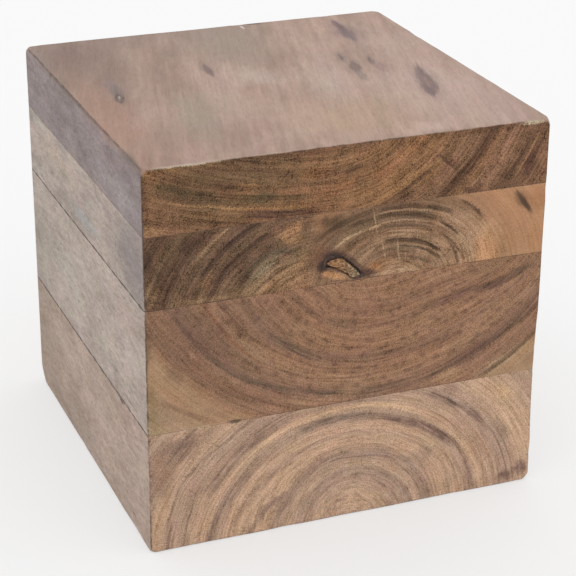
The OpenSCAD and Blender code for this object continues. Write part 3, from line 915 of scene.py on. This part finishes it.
# the two figures of the upper board: rings around a far pith on the left, and around the knot on the right
upperLeft = {
    **plainFigure,
    "alongScale": 1.3, "crispness": 3.0, "tint": (0.84, 0.73, 0.63), "fineRings": (1.5, 26.0),
    "pith": (-19.0, 121.0), "stretch": (1.0, 1.0, 1.0), "reach": (35.0, 135.0),
    "rayContrast": 0.1, "ringContrast": 0.22, "mottleContrast": 0.19,
    "tones": {"umber": "#453329", "slate": "#585142", "rust": "#8B6347", "straw": "#A5835F",
              "sand": "#A58A6C", "lens": "#867B67", "blond": "#8F7257", "honey": "#806A53",
              "tan": "#745E4A", "fawn": "#6E5846", "nut": "#685440", "cocoa": "#624C3C",
              "bark": "#5D4737"},
    "bands": [(35, "blond"), (52, "blond"), (56, "honey"), (61, "honey"), (66, "nut"), (71, "fawn"),
              (78, "cocoa"), (83, "tan"), (88, "cocoa"), (93, "fawn"), (97, "tan"), (102, "cocoa"),
              (108, "bark"), (114, "nut"), (120, "bark"), (135, "cocoa")],
    "rings": [
        (112, 148, 78.2, 78.4, 2.2, "umber", 0.85), (144, 160, 77.4, 79.4, 2.2, "umber", 0.7),
        (112, 146, 86.8, 89, 2.6, "umber", 0.95), (104, 120, 61, 68.4, 2.0, "slate", 0.85),
        (116, 136, 68.6, 66.4, 1.8, "slate", 0.85), (128, 144, 67.4, 62.6, 3.2, "umber", 0.7),
        (122, 142, 96.2, 97.4, 1.0, "sand", 0.7), (136, 152, 86.2, 84.8, 1.0, "sand", 0.6),
        (130, 160, 73.4, 73, 1.0, "sand", 0.35), (108, 140, 53.6, 54.4, 0.9, "umber", 0.5),
        (106, 142, 49.8, 50.4, 0.8, "umber", 0.5), (104, 142, 46.2, 46.4, 0.8, "umber", 0.4),
        (108, 138, 51.8, 52.4, 0.8, "sand", 0.6), (106, 140, 48, 48.2, 0.8, "sand", 0.5),
        (112, 140, 57.4, 57.2, 1.0, "sand", 0.5), (130, 160, 103, 103, 1.2, "umber", 0.6),
        (128, 160, 92.4, 92, 1.2, "umber", 0.4), (140, 165, 112, 112, 2.0, "umber", 0.5),
    ],
    "stains": [((-54, 171), (17, 6), 42, "lens", 0.8), ((-99, 193), (9, 6), 30, "umber", 0.6),
               ((-122, 184), (5, 12), 0, "umber", 0.8), ((-121, 164), (6, 12), 0, "sand", 0.4),
               ((-34, 195), (8, 4.5), 24, "straw", 0.7), ((-38, 190.5), (13, 7.5), -6, "straw", 0.65),
               ((-17, 189), (5, 6), 0, "umber", 0.6), ((-40, 179), (7, 2.2), -18, "umber", 0.6),
               ((-24, 172), (7, 9), 0, "umber", 0.5), ((-88, 168), (8, 6), 30, "rust", 0.25),
               ((-88, 158), (24, 3.2), 0, "sand", 0.4), ((-30, 178), (4, 8), -20, "straw", 0.3)],
}
upperRight = {
    **plainFigure,
    "alongScale": 0.9, "crispness": 2.2, "tint": (0.92, 0.81, 0.72),
    "pith": (28.0, 150.0), "stretch": (0.8, 0.8, 1.0), "reach": (0.0, 100.0), "calm": (44, 62, 0.3),
    "mottleContrast": 0.14,
    "tones": {"umber": "#52402F", "slate": "#5E5040", "greyBrown": "#6D5744", "sap": "#B48D69",
              "rust": "#94663F", "straw": "#B58E68", "sand": "#AC9275", "ash": "#A68A70",
              "buff": "#C4A282", "blond": "#B69070", "honey": "#A98668", "tan": "#9E826B",
              "fawn": "#94795F", "nut": "#897059", "cocoa": "#846951", "bark": "#78624E"},
    "bands": [(0, "tan"), (8, "tan"), (13, "fawn"), (18, "cocoa"), (22, "bark"), (25, "nut"), (31, "nut"),
              (35, "cocoa"), (41, "bark"), (47, "bark"), (54, "cocoa"), (60, "honey"), (70, "blond"),
              (100, "blond")],
    "rings": [
        (34, 62, 27.4, 27.6, 1.5, "umber", 0.95), (56, 106, 27.6, 27.2, 2.2, "umber", 1.0),
        (100, 122, 27.0, 24.6, 1.6, "umber", 0.8), (26, 56, 25.4, 24.0, 1.3, "umber", 0.85),
        (50, 104, 24.0, 22.6, 1.4, "slate", 0.95), (28, 60, 19.6, 17.4, 1.2, "slate", 0.9),
        (56, 98, 17.4, 17.0, 1.0, "slate", 0.7), (36, 62, 40.2, 42.0, 1.6, "umber", 0.9),
        (58, 106, 42.0, 44.2, 2.0, "umber", 1.0), (102, 124, 44.2, 46.6, 2.0, "umber", 0.9),
        (52, 76, 48.8, 47.5, 2.0, "umber", 0.9), (72, 104, 47.5, 48.1, 2.4, "umber", 0.85),
        (100, 146, 48.1, 53.6, 2.6, "umber", 0.85), (36, 58, 56.2, 56.5, 1.2, "umber", 0.9),
        (8, 54, 32.4, 36.0, 1.0, "umber", 0.7), (10, 44, 36.5, 38.6, 0.9, "umber", 0.5),
        (60, 110, 36.4, 36.4, 1.2, "slate", 0.8), (56, 100, 33.0, 33.2, 0.9, "sand", 0.6),
        (64, 100, 30.6, 30.6, 0.9, "sand", 0.6), (64, 104, 45.6, 46.2, 0.8, "sand", 0.5),
        (64, 104, 39.2, 39.8, 0.8, "sand", 0.6), (120, 150, 41.2, 42, 1.0, "sand", 0.95),
        (100, 126, 38.8, 41, 0.9, "sand", 0.85), (30, 90, 14.2, 14.2, 0.9, "umber", 0.5),
        (98, 140, 16, 17, 2.0, "rust", 0.4), (110, 146, 31, 30, 1.6, "greyBrown", 0.7),
        (112, 150, 35.6, 36.6, 1.2, "umber", 0.6), (-30, 30, 47, 50, 9.0, "sap", 1.0),
    ],
    "stains": [((118, 190), (16, 10), 0, "rust", 0.35), ((118, 166), (6, 16), 0, "rust", 0.2),
               ((100, 166), (14, 12), 0, "straw", 0.3), ((74, 174), (16, 26), 0, "ash", 0.85),
               ((57, 168), (13, 14), 0, "ash", 0.45), ((62, 187), (17, 13), -20, "ash", 0.6),
               ((88, 172), (12, 18), 0, "buff", 0.75), ((16, 161), (11, 6), -10, "rust", 0.3),
               ((36, 157.5), (12, 3), 0, "sand", 0.5), ((-22, 176), (9, 9), 0, "rust", 0.4),
               ((52, 188), (6, 5), -20, "rust", 0.3), ((-13, 195), (12, 7), 0, "umber", 0.75),
               ((3, 170), (6, 5), -40, "sand", 0.3), ((44, 168), (7, 10), 0, "ash", 0.5),
               ((84, 158), (46, 3.6), 0, "buff", 0.35), ((34, 180), (6, 5), 0, "sand", 0.3)],
}
# a board of two figures around an open knot, turning to clear tan sapwood at its right end
upperBoard = {
    **plainBoard,
    "piece": "upperTimber", "node": "upper_board", "slot": "upper_timber",
    "material": "timberUpperSandedWaxed", "figureLean": (0.08, 0.0),
    "figure": upperLeft,
    "moreFigures": [(upperRight, -24.0, 6.0)],   # where each takes over along x, and how softly
    "longGrain": {
        **weathered,
        "above": [(0.3, "#958477"), (0.5, "#A69285"), (0.7, "#B29D8D")],
        "beside": [(0.3, "#8C7E73"), (0.5, "#9C8C81"), (0.7, "#A99889")],
        "washes": [((-125, -106, 178), (30, 84, 36), 0, "#7C706C", 0.95),
                   ((-125, -6, 167), (30, 44, 6), 0, "#929593", 0.6),
                   ((-125, 60, 184), (30, 60, 12), 0, "#AB9782", 0.5),
                   ((-125, 100, 162), (30, 40, 6), 0, "#9B9488", 0.4)],
        "seams": [(156.0, 0.9, "#4E443B", 0.95), (200.0, 0.4, "#6A5E56", 0.5)],
        "arris": "#4A3B2F", "arrisWidth": (0.7, 2.8),
    },
    "marks": [
        # the dark fleck in the sapwood, and two scratches
        ((108, -125, 192), (9, 8, 4.8), (0, 52, 0), "#7C6049", 0.8),
        ((111, -125, 188.8), (11, 8, 2.5), (0, 53, 0), "#514033", 0.9),
        ((106.6, -125, 195), (5, 6, 1.4), (0, 56, 0), "#5A4638", 0.6),
        ((14.6, -125, 189), (12, 4, 0.6), (0, 79, 0), "#B5A084", 0.5),
        ((20.2, -125, 172), (11, 4, 0.7), (0, 77, 0), "#B5A084", 0.45),
        ((29.2, -125, 171), (12, 4, 0.7), (0, 83, 0), "#B5A084", 0.45),
        ((34, -125, 168), (8, 4, 0.6), (0, 86, 0), "#B5A084", 0.3),
        # dark knot wood around the open knot, partly painted shadow: the darkest marks above and left of
        # the plug and along the hole's upper edge stand for the shadow inside the hole, the brown line
        # under the plug for the shade of the gap, and the orange mark is a fresh sliver
        ((-15, -125, 171.6), (13, 8, 10.5), (0, 0, 0), "#5C4336", 0.75),
        ((-17.8, -125, 167.8), (5, 8, 5.4), (0, 0, 0), "#3A2D2A", 0.9),
        ((-11.4, -125, 172.6), (9, 8, 4.6), (0, 6, 0), "#382B29", 0.92),
        ((0.6, -125, 168), (11, 8, 3.2), (0, 42, 0), "#4E3C35", 0.8),
        ((10.6, -125, 159.4), (10, 8, 4.0), (0, 18, 0), "#4C3931", 0.85),
        ((-11.4, -125, 161), (11, 8, 2.8), (0, 20, 0), "#AD8660", 0.9),
        ((-7.5, -125, 163.4), (9, 8, 1.3), (0, 30, 0), "#5F4334", 0.8),
        ((-7, -125, 157.2), (9, 8, 0.8), (0, 6, 0), "#6A4E3E", 0.7),
        ((24, -125, 158.2), (18, 6, 1.4), (0, -4, 0), "#B39A7C", 0.5),
        ((-125, 79, 181), (4, 4, 2.0), (0, 0, 0), "#7E7168", 0.7),
        ((-125, 70, 172), (4, 5, 1.4), (0, 0, 0), "#857970", 0.6),
        ((-125, 10, 176), (4, 12, 1.6), (4, 0, 0), "#8C8076", 0.5),
        ((-125, -20, 185), (4, 9, 1.3), (0, 0, 0), "#8A7E75", 0.5),
        ((-125, -40, 190), (4, 10, 1.0), (-4, 0, 0), "#B9ACA2", 0.5),
        ((-125, 96, 196), (4, 30, 2.4), (0, 0, 0), "#A3A298", 0.5),
    ],
}

# the darkest end grain, and the broad top face, rubbed smooth, with knots cut along the grain
topBoard = {
    **plainBoard,
    "piece": "topTimber", "node": "top_board", "slot": "top_timber",
    "material": "timberTopSandedWaxed",
    "figure": {
        **plainFigure,
        "pith": (-14.0, 290.0), "stretch": (0.5, 1.0, 1.0), "reach": (45.0, 185.0), "alongScale": 1.5,
        "ringContrast": 0.22, "mottleContrast": 0.2, "crispness": 3.2, "tint": (0.8, 0.73, 0.61),
        "tones": {"umber": "#54392B", "slate": "#5C4A36", "greyBrown": "#6A4F3C", "plum": "#5E4237",
                  "rust": "#94643F", "straw": "#9E7653", "dull": "#60503C", "sand": "#A98661",
                  "blond": "#92694D", "honey": "#8D6B57", "tan": "#88664C", "fawn": "#846247",
                  "nut": "#7F604B", "cocoa": "#7C5C45", "bark": "#6F523F"},
        "bands": [(45, "bark"), (54, "cocoa"), (60, "tan"), (66, "cocoa"), (71, "fawn"), (76, "blond"),
                  (81, "fawn"), (86, "fawn"), (91, "tan"), (96, "cocoa"), (102, "nut"), (108, "nut"),
                  (114, "bark"), (120, "tan"), (126, "honey"), (133, "nut"), (140, "bark"), (146, "bark"),
                  (152, "nut"), (165, "cocoa"), (185, "nut")],
        "rings": [
            (-110, -90, 88, 88.4, 4.4, "plum", 1.0), (-116, -90, 84.9, 84, 1.3, "straw", 0.7),
            (-98, -84, 83, 86.8, 0.9, "umber", 0.7), (-128, -104, 85.8, 83.6, 0.9, "sand", 0.6),
            (-114, -92, 78.6, 78.4, 3.2, "slate", 0.75), (-134, -114, 78.4, 80.5, 5.4, "slate", 0.9),
            (-72, -46, 94.6, 94, 1.8, "umber", 0.8), (-68, -56, 97, 100, 3.0, "umber", 0.6),
            (-56, -24, 112.8, 114.6, 3.6, "umber", 0.85), (-74, -36, 91, 91, 1.4, "straw", 0.4),
            (-60, -36, 83.8, 85.6, 0.9, "sand", 0.5), (-80, -68, 76.5, 76.5, 3.2, "straw", 0.4),
            (-62, -46, 76, 76, 3.2, "straw", 0.45), (-86, -68, 67.5, 67.5, 3.4, "umber", 0.55),
            (-84, -68, 71.5, 71.5, 1.1, "umber", 0.55), (-64, -48, 69, 69, 2.2, "umber", 0.4),
            (-42, -22, 137.4, 142.4, 2.2, "umber", 0.6), (-36, -24, 147, 147, 3.6, "umber", 0.7),
            (-36, -22, 143.6, 143.6, 0.9, "sand", 0.5), (-126, -104, 65, 62, 0.9, "umber", 0.5),
            (-106, -96, 58, 53, 0.9, "umber", 0.9), (-100, -88, 66, 64, 4.5, "rust", 0.5),
            (-120, -106, 94, 91.5, 1.4, "umber", 0.5),
        ],
        "stains": [((-96, 226), (34, 22), 0, "greyBrown", 0.6),
                   ((-60, 232), (50, 8), 0, "greyBrown", 0.4), ((-76, 222), (72, 34), 0, "dull", 0.5),
                   ((30, 214), (34, 12), 20, "straw", 0.35), ((112, 212), (5, 12), -8, "plum", 0.75),
                   ((62, 221), (3, 10), 38, "umber", 0.6), ((97, 208), (6, 6), 0, "umber", 0.4),
                   ((122, 205), (4, 12), -10, "rust", 0.2), ((-78, 224), (14, 5), -12, "umber", 0.45),
                   ((-54, 215), (14, 4.5), -4, "dull", 0.8), ((-62, 222), (7, 3), -10, "straw", 0.5),
                   ((-120, 204), (7, 4), 0, "sand", 0.35), ((6, 216), (9, 5), 0, "dull", 0.6),
                   ((14, 232), (26, 6), 12, "straw", 0.3), ((114, 214), (8, 12), -8, "plum", 0.5),
                   ((76, 202), (11, 4.5), 0, "umber", 0.65), ((-124, 224), (4, 18), 0, "umber", 0.5),
                   ((-44, 238), (44, 3.4), 0, "umber", 0.5), ((88, 238), (36, 3.6), 0, "umber", 0.5)],
    },
    "longGrain": {
        **weathered,
        "above": [(0.3, "#957A6C"), (0.5, "#A38778"), (0.7, "#AF9384")],
        "beside": [(0.3, "#736462"), (0.5, "#7C6D6A"), (0.7, "#877874")],
        # broad washes on the top face: partly weathered patches and partly painted light, paler towards the
        # front and right and darker towards the back and left, as light falling off across it
        "washes": [
            ((-125, 70, 240), (110, 130, 9), 0, "#7B685B", 0.65),
            ((-50, 130, 240), (100, 70, 30), 0, "#877368", 0.6),
            ((-90, -70, 240), (60, 80, 9), 0, "#9A8072", 0.45),
            ((80, -50, 240), (70, 110, 30), 0, "#BDA295", 0.5),
            ((0, 84, 240), (46, 84, 30), -10, "#938274", 0.8),
            ((-64, -44, 240), (24, 66, 30), -14, "#968977", 0.75),
            ((18, -80, 240), (60, 60, 30), 0, "#B0957A", 0.6),
            ((-104, 90, 240), (40, 70, 9), 0, "#80685E", 0.85),
            ((-116, -40, 240), (24, 130, 7), -6, "#9C7966", 0.8),
            ((100, -60, 240), (44, 110, 30), 0, "#B49A8F", 0.5),
            ((100, 50, 240), (40, 60, 30), 0, "#BBA195", 0.5),
            ((-98, 27, 240), (10, 15, 6), 0, "#837072", 0.6),
            ((-8, 8, 240), (28, 30, 30), 0, "#B7A699", 0.45),
            ((30, -8, 240), (24, 70, 30), -10, "#C2AB9E", 0.55),
            ((52, -114, 240), (46, 16, 9), 0, "#C4AA9A", 0.5),
            ((-40, -20, 240), (24, 90, 30), -10, "#B39A8C", 0.4),
            ((-126, -84, 212), (14, 74, 16), 0, "#978E8A", 0.6),
            ((-126, -16, 228), (14, 40, 12), 0, "#877772", 0.5),
            ((-126, 90, 236), (14, 60, 10), 0, "#877B78", 0.5),
        ],
        "knots": [
            ((-97, 11), (4.6, 16), -9, "#776961", "#7B6B64", 0.8),
            ((-99.4, -1), (2.4, 9.5), -12, "#84726A", "#5A4942", 0.85),
            ((-31, 34), (3.1, 16), -6, "#76615A", "#7A635C", 0.8),
            ((83, 81), (5.0, 20), -6, "#72605A", "#786462", 0.85),
            ((84.6, 99), (2.8, 16), -4, "#6C5354", "#735A5A", 0.75),
            ((58, 30), (3.0, 10), -12, "#69524A", "#8A7369", 0.8),
            ((57.6, 7), (3.8, 14), -12, "#7E6A60", "#6E5A54", 0.75),
            ((55, -9), (2.6, 12), -10, "#978A7C", "#7E6E66", 0.6),
            ((72.6, 17), (2.0, 9), -12, "#725E58", "#816D66", 0.8),
            ((73, 3), (2.8, 11), -14, "#A27F75", "#8C746C", 0.6),
            ((86.6, -36.5), (5.4, 31), -15, "#8B7068", "#6C5653", 0.75),
            ((93, -14), (2.4, 15), -15, "#76605E", "#77625F", 0.5),
            ((81.6, -51), (2.4, 15), -14, "#6F5856", "#755F5C", 0.6),
        ],
        "seams": [(200.0, 0.4, "#6A5E56", 0.5)],
        "arris": "#51443C", "arrisWidth": (0.6, 2.4),
    },
    "marks": [
        # pale marks along the front arris, partly rubbed wood and partly painted highlight where the
        # rounded arris catches the light, and the chip at the back
        ((-100, -125, 239.8), (32, 2.6, 1.3), (0, 0, 0), "#BBAC9A", 0.85),
        ((114, -125, 238.8), (12, 3.0, 1.9), (0, 0, 0), "#B3A592", 0.85),
        ((60, -125, 239.8), (30, 2.0, 0.8), (0, 0, 0), "#A08F7C", 0.35),
        ((-46, -124.4, 240), (34, 1.7, 0.7), (0, 0, 0), "#B3A18B", 0.5),
        ((22.5, 117, 240), (1.2, 6, 3), (0, 0, 0), "#D2C8BF", 0.85),
        ((33, 123, 240), (9, 3, 3), (0, 0, 0), "#5B4A40", 0.7),
        ((-98.8, 0.5, 240), (0.8, 4.2, 3), (0, 0, -12), "#A3948A", 0.85),
        ((85, -42, 240), (1.2, 8, 3), (0, 0, -17), "#A38A80", 0.3),
        ((88.6, -30, 240), (0.9, 6, 3), (0, 0, -15), "#A08378", 0.35),
        # the dark line across the rings
        ((59, -125, 221), (11, 5, 1.4), (0, 42, 0), "#4C362B", 0.8),
        ((-125, 104, 236), (4, 24, 3), (0, 0, 0), "#827370", 0.4),
        ((-125, 0, 239.6), (1.4, 134, 3.0), (0, 0, 0), "#5E5049", 0.6),
        ((-125, -104, 238.4), (4, 26, 3.6), (0, 0, 0), "#6F6056", 0.8),
    ],
}

boards = [bottomBoard, lowerBoard, upperBoard, topBoard]

# where the faces of a board lie in the exported model's texture, as shares of the map
layout = {
    "margin": 0.01, "frontPerMm": 0.0038, "sidePerMm": 0.0026, "flatFrom": 0.68,
    "flatPerMm": 0.0009, "shownPerMm": 0.0011, "flatStep": 0.25, "shownStep": 0.3,
}


def atlasFor(height, shown):
    # (u, v, share of the map per mm) of each face; the top or underside that shows gets more room
    margin, side = layout["margin"], layout["sidePerMm"]
    line = height * layout["frontPerMm"] + margin
    places = {"front": (margin, margin, layout["frontPerMm"])}
    for i, name in enumerate(("left", "right", "back")):
        places[name] = (margin, line + margin * (i + 1) + i * height * side, side)
    first, second = ("over", "under") if shown == "over" else ("under", "over")
    step = layout["shownStep"] if shown else layout["flatStep"]
    places[first] = (layout["flatFrom"], line + 2 * margin, layout["shownPerMm" if shown else "flatPerMm"])
    places[second] = (layout["flatFrom"], line + 2 * margin + step, layout["flatPerMm"])
    return places


# the open knot: its hole in the upper board, and the broken plug left in it; outlines as (x, z) in mm
openKnot = {
    "piece": "looseKnot", "slot": "upper_timber",
    "hole": [(-17.2, 166.6), (-17.6, 168), (-17.4, 170.4), (-15.8, 172.4), (-13, 173.4), (-9.8, 173.6),
             (-6.8, 173), (-4.8, 171.8), (-3.2, 170.6), (-1, 168.8), (1, 167.1), (3, 164.8),
             (5.4, 162.4), (7.4, 160.2), (8.8, 158.2), (8.3, 157), (6.1, 156.7), (3.7, 156.6),
             (1.3, 156.9), (-0.3, 157.5), (-1.9, 159.2), (-3.8, 160.8), (-6.2, 162.3), (-8.8, 164.1),
             (-11.4, 165.5), (-14.4, 166.2)],
    # how deep each ring of the wall lies, and its share of the outline
    "wall": [(-1.2, 1.0), (0.0, 1.0), (0.2, 0.98), (0.6, 0.95), (1.1, 0.91), (1.9, 0.85), (3.0, 0.78)],
    "plug": [(-14.8, 168.6), (-12.4, 169.5), (-9.8, 170.2), (-7, 170.7), (-4.6, 169.4), (-2.4, 167.6),
             (-0.4, 166), (1.6, 163.6), (4, 161.2), (6.2, 158.8), (6, 157.6), (4.6, 157.2),
             (2.2, 157.2), (0, 157.8), (-1.6, 159.4), (-3.6, 161), (-6, 162.5), (-8.6, 164.4),
             (-11.2, 165.8), (-13.6, 167)],
    "rings": (1.0, 0.94, 0.86, 0.76, 0.65, 0.53, 0.41, 0.29, 0.16),
    "rimDrop": (1.1, 0.35, 0.1),         # how much deeper the outermost rings lie
    "holePoints": 72, "plugPoints": 84, "ragged": 0.5, "raggedLength": 0.7,
    "plugSunk": 0.25, "plugLeast": 0.1, "plugAngle": 50,
    "lumps": (2.6, 0.8), "crumbs": (0.9, 0.75),   # length and height of each, in mm
    "crumbsFrom": (-9.0, 4.0),           # where along x the plug turns from solid to crumbly
    "fibreTurn": 32, "roughness": 0.7, "bumpHeight": 0.0006,
    "atlasWidth": 45.0, "atlasShare": 0.2, "holeAtlas": (0.05, 0.75), "plugAtlas": (0.05, 0.1),
    "atlasSlant": 0.6,                   # how far a wall slants in the texture, so that it isn't a line
}
# the wall of the hole: dark knot bark, made near black partly as painted shade of the deep hole, and too
# matt to catch the light
darkKnotAndShade = [(0.2, "#40332F"), (0.45, "#4E3D38"), (0.7, "#604A3E"), (0.9, "#7A604D")]
holeWood = {"material": "timberKnotHoleDarkAndShaded", "tones": darkKnotAndShade, "otherTones": darkKnotAndShade,
            "fibres": (900, 300, 500), "bump": 0.4}
# knot wood broken off and not cut: orange-brown splinters that turn to pale crumbs on the right
plugWood = {
    "material": "timberKnotBroken",
    "tones": [(0.12, "#5A3A28"), (0.34, "#8C6140"), (0.56, "#B08257"), (0.82, "#C99E6F")],
    "otherTones": [(0.16, "#453429"), (0.36, "#775D46"), (0.58, "#A08768"), (0.84, "#CDB897")],
    "fibres": (600, 600, 1100), "bump": 0.8,
}


def knotwood(wood):
    # short fibres along one direction, changing from the first tones to the others along x
    material = bpy.data.materials.new(wood["material"])
    material.use_nodes = True
    tree = material.node_tree
    tree.nodes.clear()
    spot = add(tree, "TexCoord", out=3)
    turn = (0, math.radians(openKnot["fibreTurn"]), 0)
    turned = add(tree, "Mapping", {0: spot, 2: turn, 3: wood["fibres"]})
    fibres = add(tree, "TexNoise", {"Vector": turned, "Scale": 1.0, "Detail": 5.0, "Roughness": 0.7})
    stretched = add(tree, "MapRange", fibres, 0.3, 0.7)
    colour = add(tree, "ValToRGB", stretched, stops=wood["tones"])
    other = add(tree, "ValToRGB", stretched, stops=wood["otherTones"])
    along = add(tree, "SeparateXYZ", spot, out=None)[0]
    share = add(tree, "MapRange", along, *[place * mm for place in openKnot["crumbsFrom"]])
    colour = add(tree, "Mix", {0: share, 6: colour, 7: other}, out=2, data_type="RGBA")
    bump = add(tree, "Bump", {"Strength": wood["bump"], "Distance": openKnot["bumpHeight"],
                              "Height": fibres})
    shader = add(tree, "BsdfPrincipled", {"Base Color": colour, "Normal": bump,
                                          "Roughness": openKnot["roughness"]})
    add(tree, "OutputMaterial", {"Surface": shader}, out=None)
    material.diffuse_color = linearColour(wood["tones"][1][1])
    return material


def raggedOutline(outline, count):
    # evenly spaced points along a closed outline, each pushed a little in or out
    ends = outline[1:] + outline[:1]
    lengths = [math.dist(a, b) for a, b in zip(outline, ends)]
    middle = Vector((sum(p[0] for p in outline), sum(p[1] for p in outline))) / len(outline)
    points, edge, walked = [], 0, 0.0
    for i in range(count):
        target = sum(lengths) * i / count
        while walked + lengths[edge] < target:
            walked += lengths[edge]
            edge += 1
        share = (target - walked) / lengths[edge]
        place = Vector(outline[edge]).lerp(Vector(ends[edge]), share)
        wander = place * openKnot["raggedLength"]
        push = noise.noise(Vector((wander.x, 5.0, wander.y))) * openKnot["ragged"]
        points.append(place + (place - middle).normalized() * push)
    return points, middle


def nestedRings(outline, middle, shares, depthAt):
    # closed rings of points, one inside another, joined into walls and capped at both ends
    spots, faces, count = [], [], len(outline)
    for level, share in enumerate(shares):
        for point in outline:
            place = middle + (point - middle) * share
            spots.append(Vector((place.x, depthAt(level, place) - block["halfSize"][1], place.y)) * mm)
    for start in range(0, (len(shares) - 1) * count, count):
        for i in range(count):
            j = (i + 1) % count
            faces.append((start + i, start + j, start + count + j, start + count + i))
    faces.append(list(range(count))[::-1])
    faces.append([(len(shares) - 1) * count + i for i in range(count)])
    return spots, faces


def solidFrom(name, spots, faces, material, corner):
    # a closed solid, faces outwards, laid out flat on its x and z for the exported model
    mesh = bpy.data.meshes.new(name)
    mesh.from_pydata(spots, [], faces)
    build = bmesh.new()
    build.from_mesh(mesh)
    bmesh.ops.recalc_face_normals(build, faces=build.faces)
    build.to_mesh(mesh)
    build.free()
    uv = mesh.uv_layers.new(name="OFBake")
    low = [min(spot[axis] for spot in spots) for axis in range(3)]
    spread = openKnot["atlasShare"] / (openKnot["atlasWidth"] * mm)
    for loop in mesh.loops:
        place = mesh.vertices[loop.vertex_index].co
        deep = (place.y - low[1]) * openKnot["atlasSlant"]
        uv.data[loop.index].uv = (corner[0] + (place.x - low[0] + deep) * spread,
                                  corner[1] + (place.z - low[2] + deep) * spread)
    mesh.materials.append(material)
    return placed(name, mesh)


def drilledHole(material):
    # the solid that is cut from the board: sloping ragged walls down to a small floor
    outline, middle = raggedOutline(openKnot["hole"], openKnot["holePoints"])
    depths, shares = zip(*openKnot["wall"])
    spots, faces = nestedRings(outline, middle, shares, lambda level, place: depths[level])
    return solidFrom("knotHole", spots, faces, material, openKnot["holeAtlas"])


def brokenPlug(material):
    # what is left of the knot: a plug with a rough, crumbling front
    outline, middle = raggedOutline(openKnot["plug"], openKnot["plugPoints"])
    floorDepth, floorShare = openKnot["wall"][-1]

    def depthAt(level, place):
        if level == 0:
            return floorDepth
        front = openKnot["plugSunk"]
        for length, height in (openKnot["lumps"], openKnot["crumbs"]):
            front += height * (0.5 + noise.noise(Vector((place.x / length, 3.0, place.y / length))))
        drop = openKnot["rimDrop"][level - 1] if level <= len(openKnot["rimDrop"]) else 0.0
        return max(front, openKnot["plugLeast"]) + drop

    spots, faces = nestedRings(outline, middle, (floorShare,) + openKnot["rings"], depthAt)
    return solidFrom(openKnot["piece"], spots, faces, material, openKnot["plugAtlas"])


def cutHole(board):
    hole = drilledHole(knotwood(holeWood))
    modifier = board.modifiers.new("knotHole", "BOOLEAN")
    modifier.operation = "DIFFERENCE"
    modifier.solver = "EXACT"
    modifier.material_mode = "TRANSFER"
    modifier.object = hole
    freeze(board)
    bpy.data.objects.remove(hole)


sanding = sandingTree()
for board in boards:
    low, high = [round(corner.z / mm, 3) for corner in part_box(board["node"])]
    wide, deep = block["halfSize"][:2]
    shown = "over" if board is topBoard else "under" if board is bottomBoard else None
    piece = boardShell(board["piece"], (-wide, -deep, low), (wide, deep, high), atlasFor(high - low, shown))
    sand(piece, sanding, (low + high) / 2, (high - low) / 2, timber(board))
    if board is upperBoard:
        cutHole(piece)
    smooth(piece, block["smoothAngle"])
    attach(piece, "root")
    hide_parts(board["node"])
    print("made", piece.name, len(piece.data.polygons), "faces", len(piece.data.materials), "materials")

plug = brokenPlug(knotwood(plugWood))
smooth(plug, openKnot["plugAngle"])
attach(plug, "root")
print("made", plug.name, len(plug.data.polygons), "faces")

stage = {
    "floorSize": 8.0, "floorColour": "#F4F4F4", "floorRoughness": 0.9, "floorShine": 0.2,
    "floorGlow": 0.5, "worldStrength": 1.0,
    "place": (-0.40384, -1.04266, 0.59189), "turn": (66.26, -0.311, -21.523), "lens": 118.3,
    "sensor": 36.0, "nearest": 0.05,
}


def makeFloor():
    half = stage["floorSize"] / 2
    mesh = bpy.data.meshes.new("floor")
    corners = [(-half, -half, 0), (half, -half, 0), (half, half, 0), (-half, half, 0)]
    mesh.from_pydata(corners, [], [(0, 1, 2, 3)])
    # white paper with no gloss: half of it shows as plain white, and the rest keeps a soft shadow
    material = bpy.data.materials.new("matPaper")
    material.use_nodes = True
    tree = material.node_tree
    tree.nodes.clear()
    shader = add(tree, "BsdfPrincipled", {
        "Base Color": linearColour(stage["floorColour"]), "Roughness": stage["floorRoughness"],
        "Specular IOR Level": stage["floorShine"]})
    rays = add(tree, "LightPath", out=None)
    seen = add(tree, "Math MAXIMUM", rays["Is Camera Ray"], rays["Is Glossy Ray"])
    seen = add(tree, "Math MAXIMUM", seen, rays["Is Transmission Ray"])
    seen = add(tree, "Math MULTIPLY", seen, stage["floorGlow"])
    glow = add(tree, "Emission", (1.0, 1.0, 1.0, 1.0), 1.0)
    mixed = add(tree, "MixShader", seen, shader, glow)
    add(tree, "OutputMaterial", {"Surface": mixed}, out=None)
    mesh.materials.append(material)
    placed("floor", mesh)


makeFloor()
world = bpy.data.worlds.new("studio")
scene.world = world
world.use_nodes = True
sky = world.node_tree.nodes["Background"].inputs
sky["Color"].default_value = (1, 1, 1, 1)
sky["Strength"].default_value = stage["worldStrength"]

camera = placed("camera", bpy.data.cameras.new("camera"))
camera.location = stage["place"]
camera.rotation_euler = [math.radians(angle) for angle in stage["turn"]]
camera.data.lens = stage["lens"]
camera.data.sensor_width = stage["sensor"]
camera.data.clip_start = stage["nearest"]
scene.camera = camera
scene.view_settings.view_transform = "Standard"
print("floor, light and camera set")
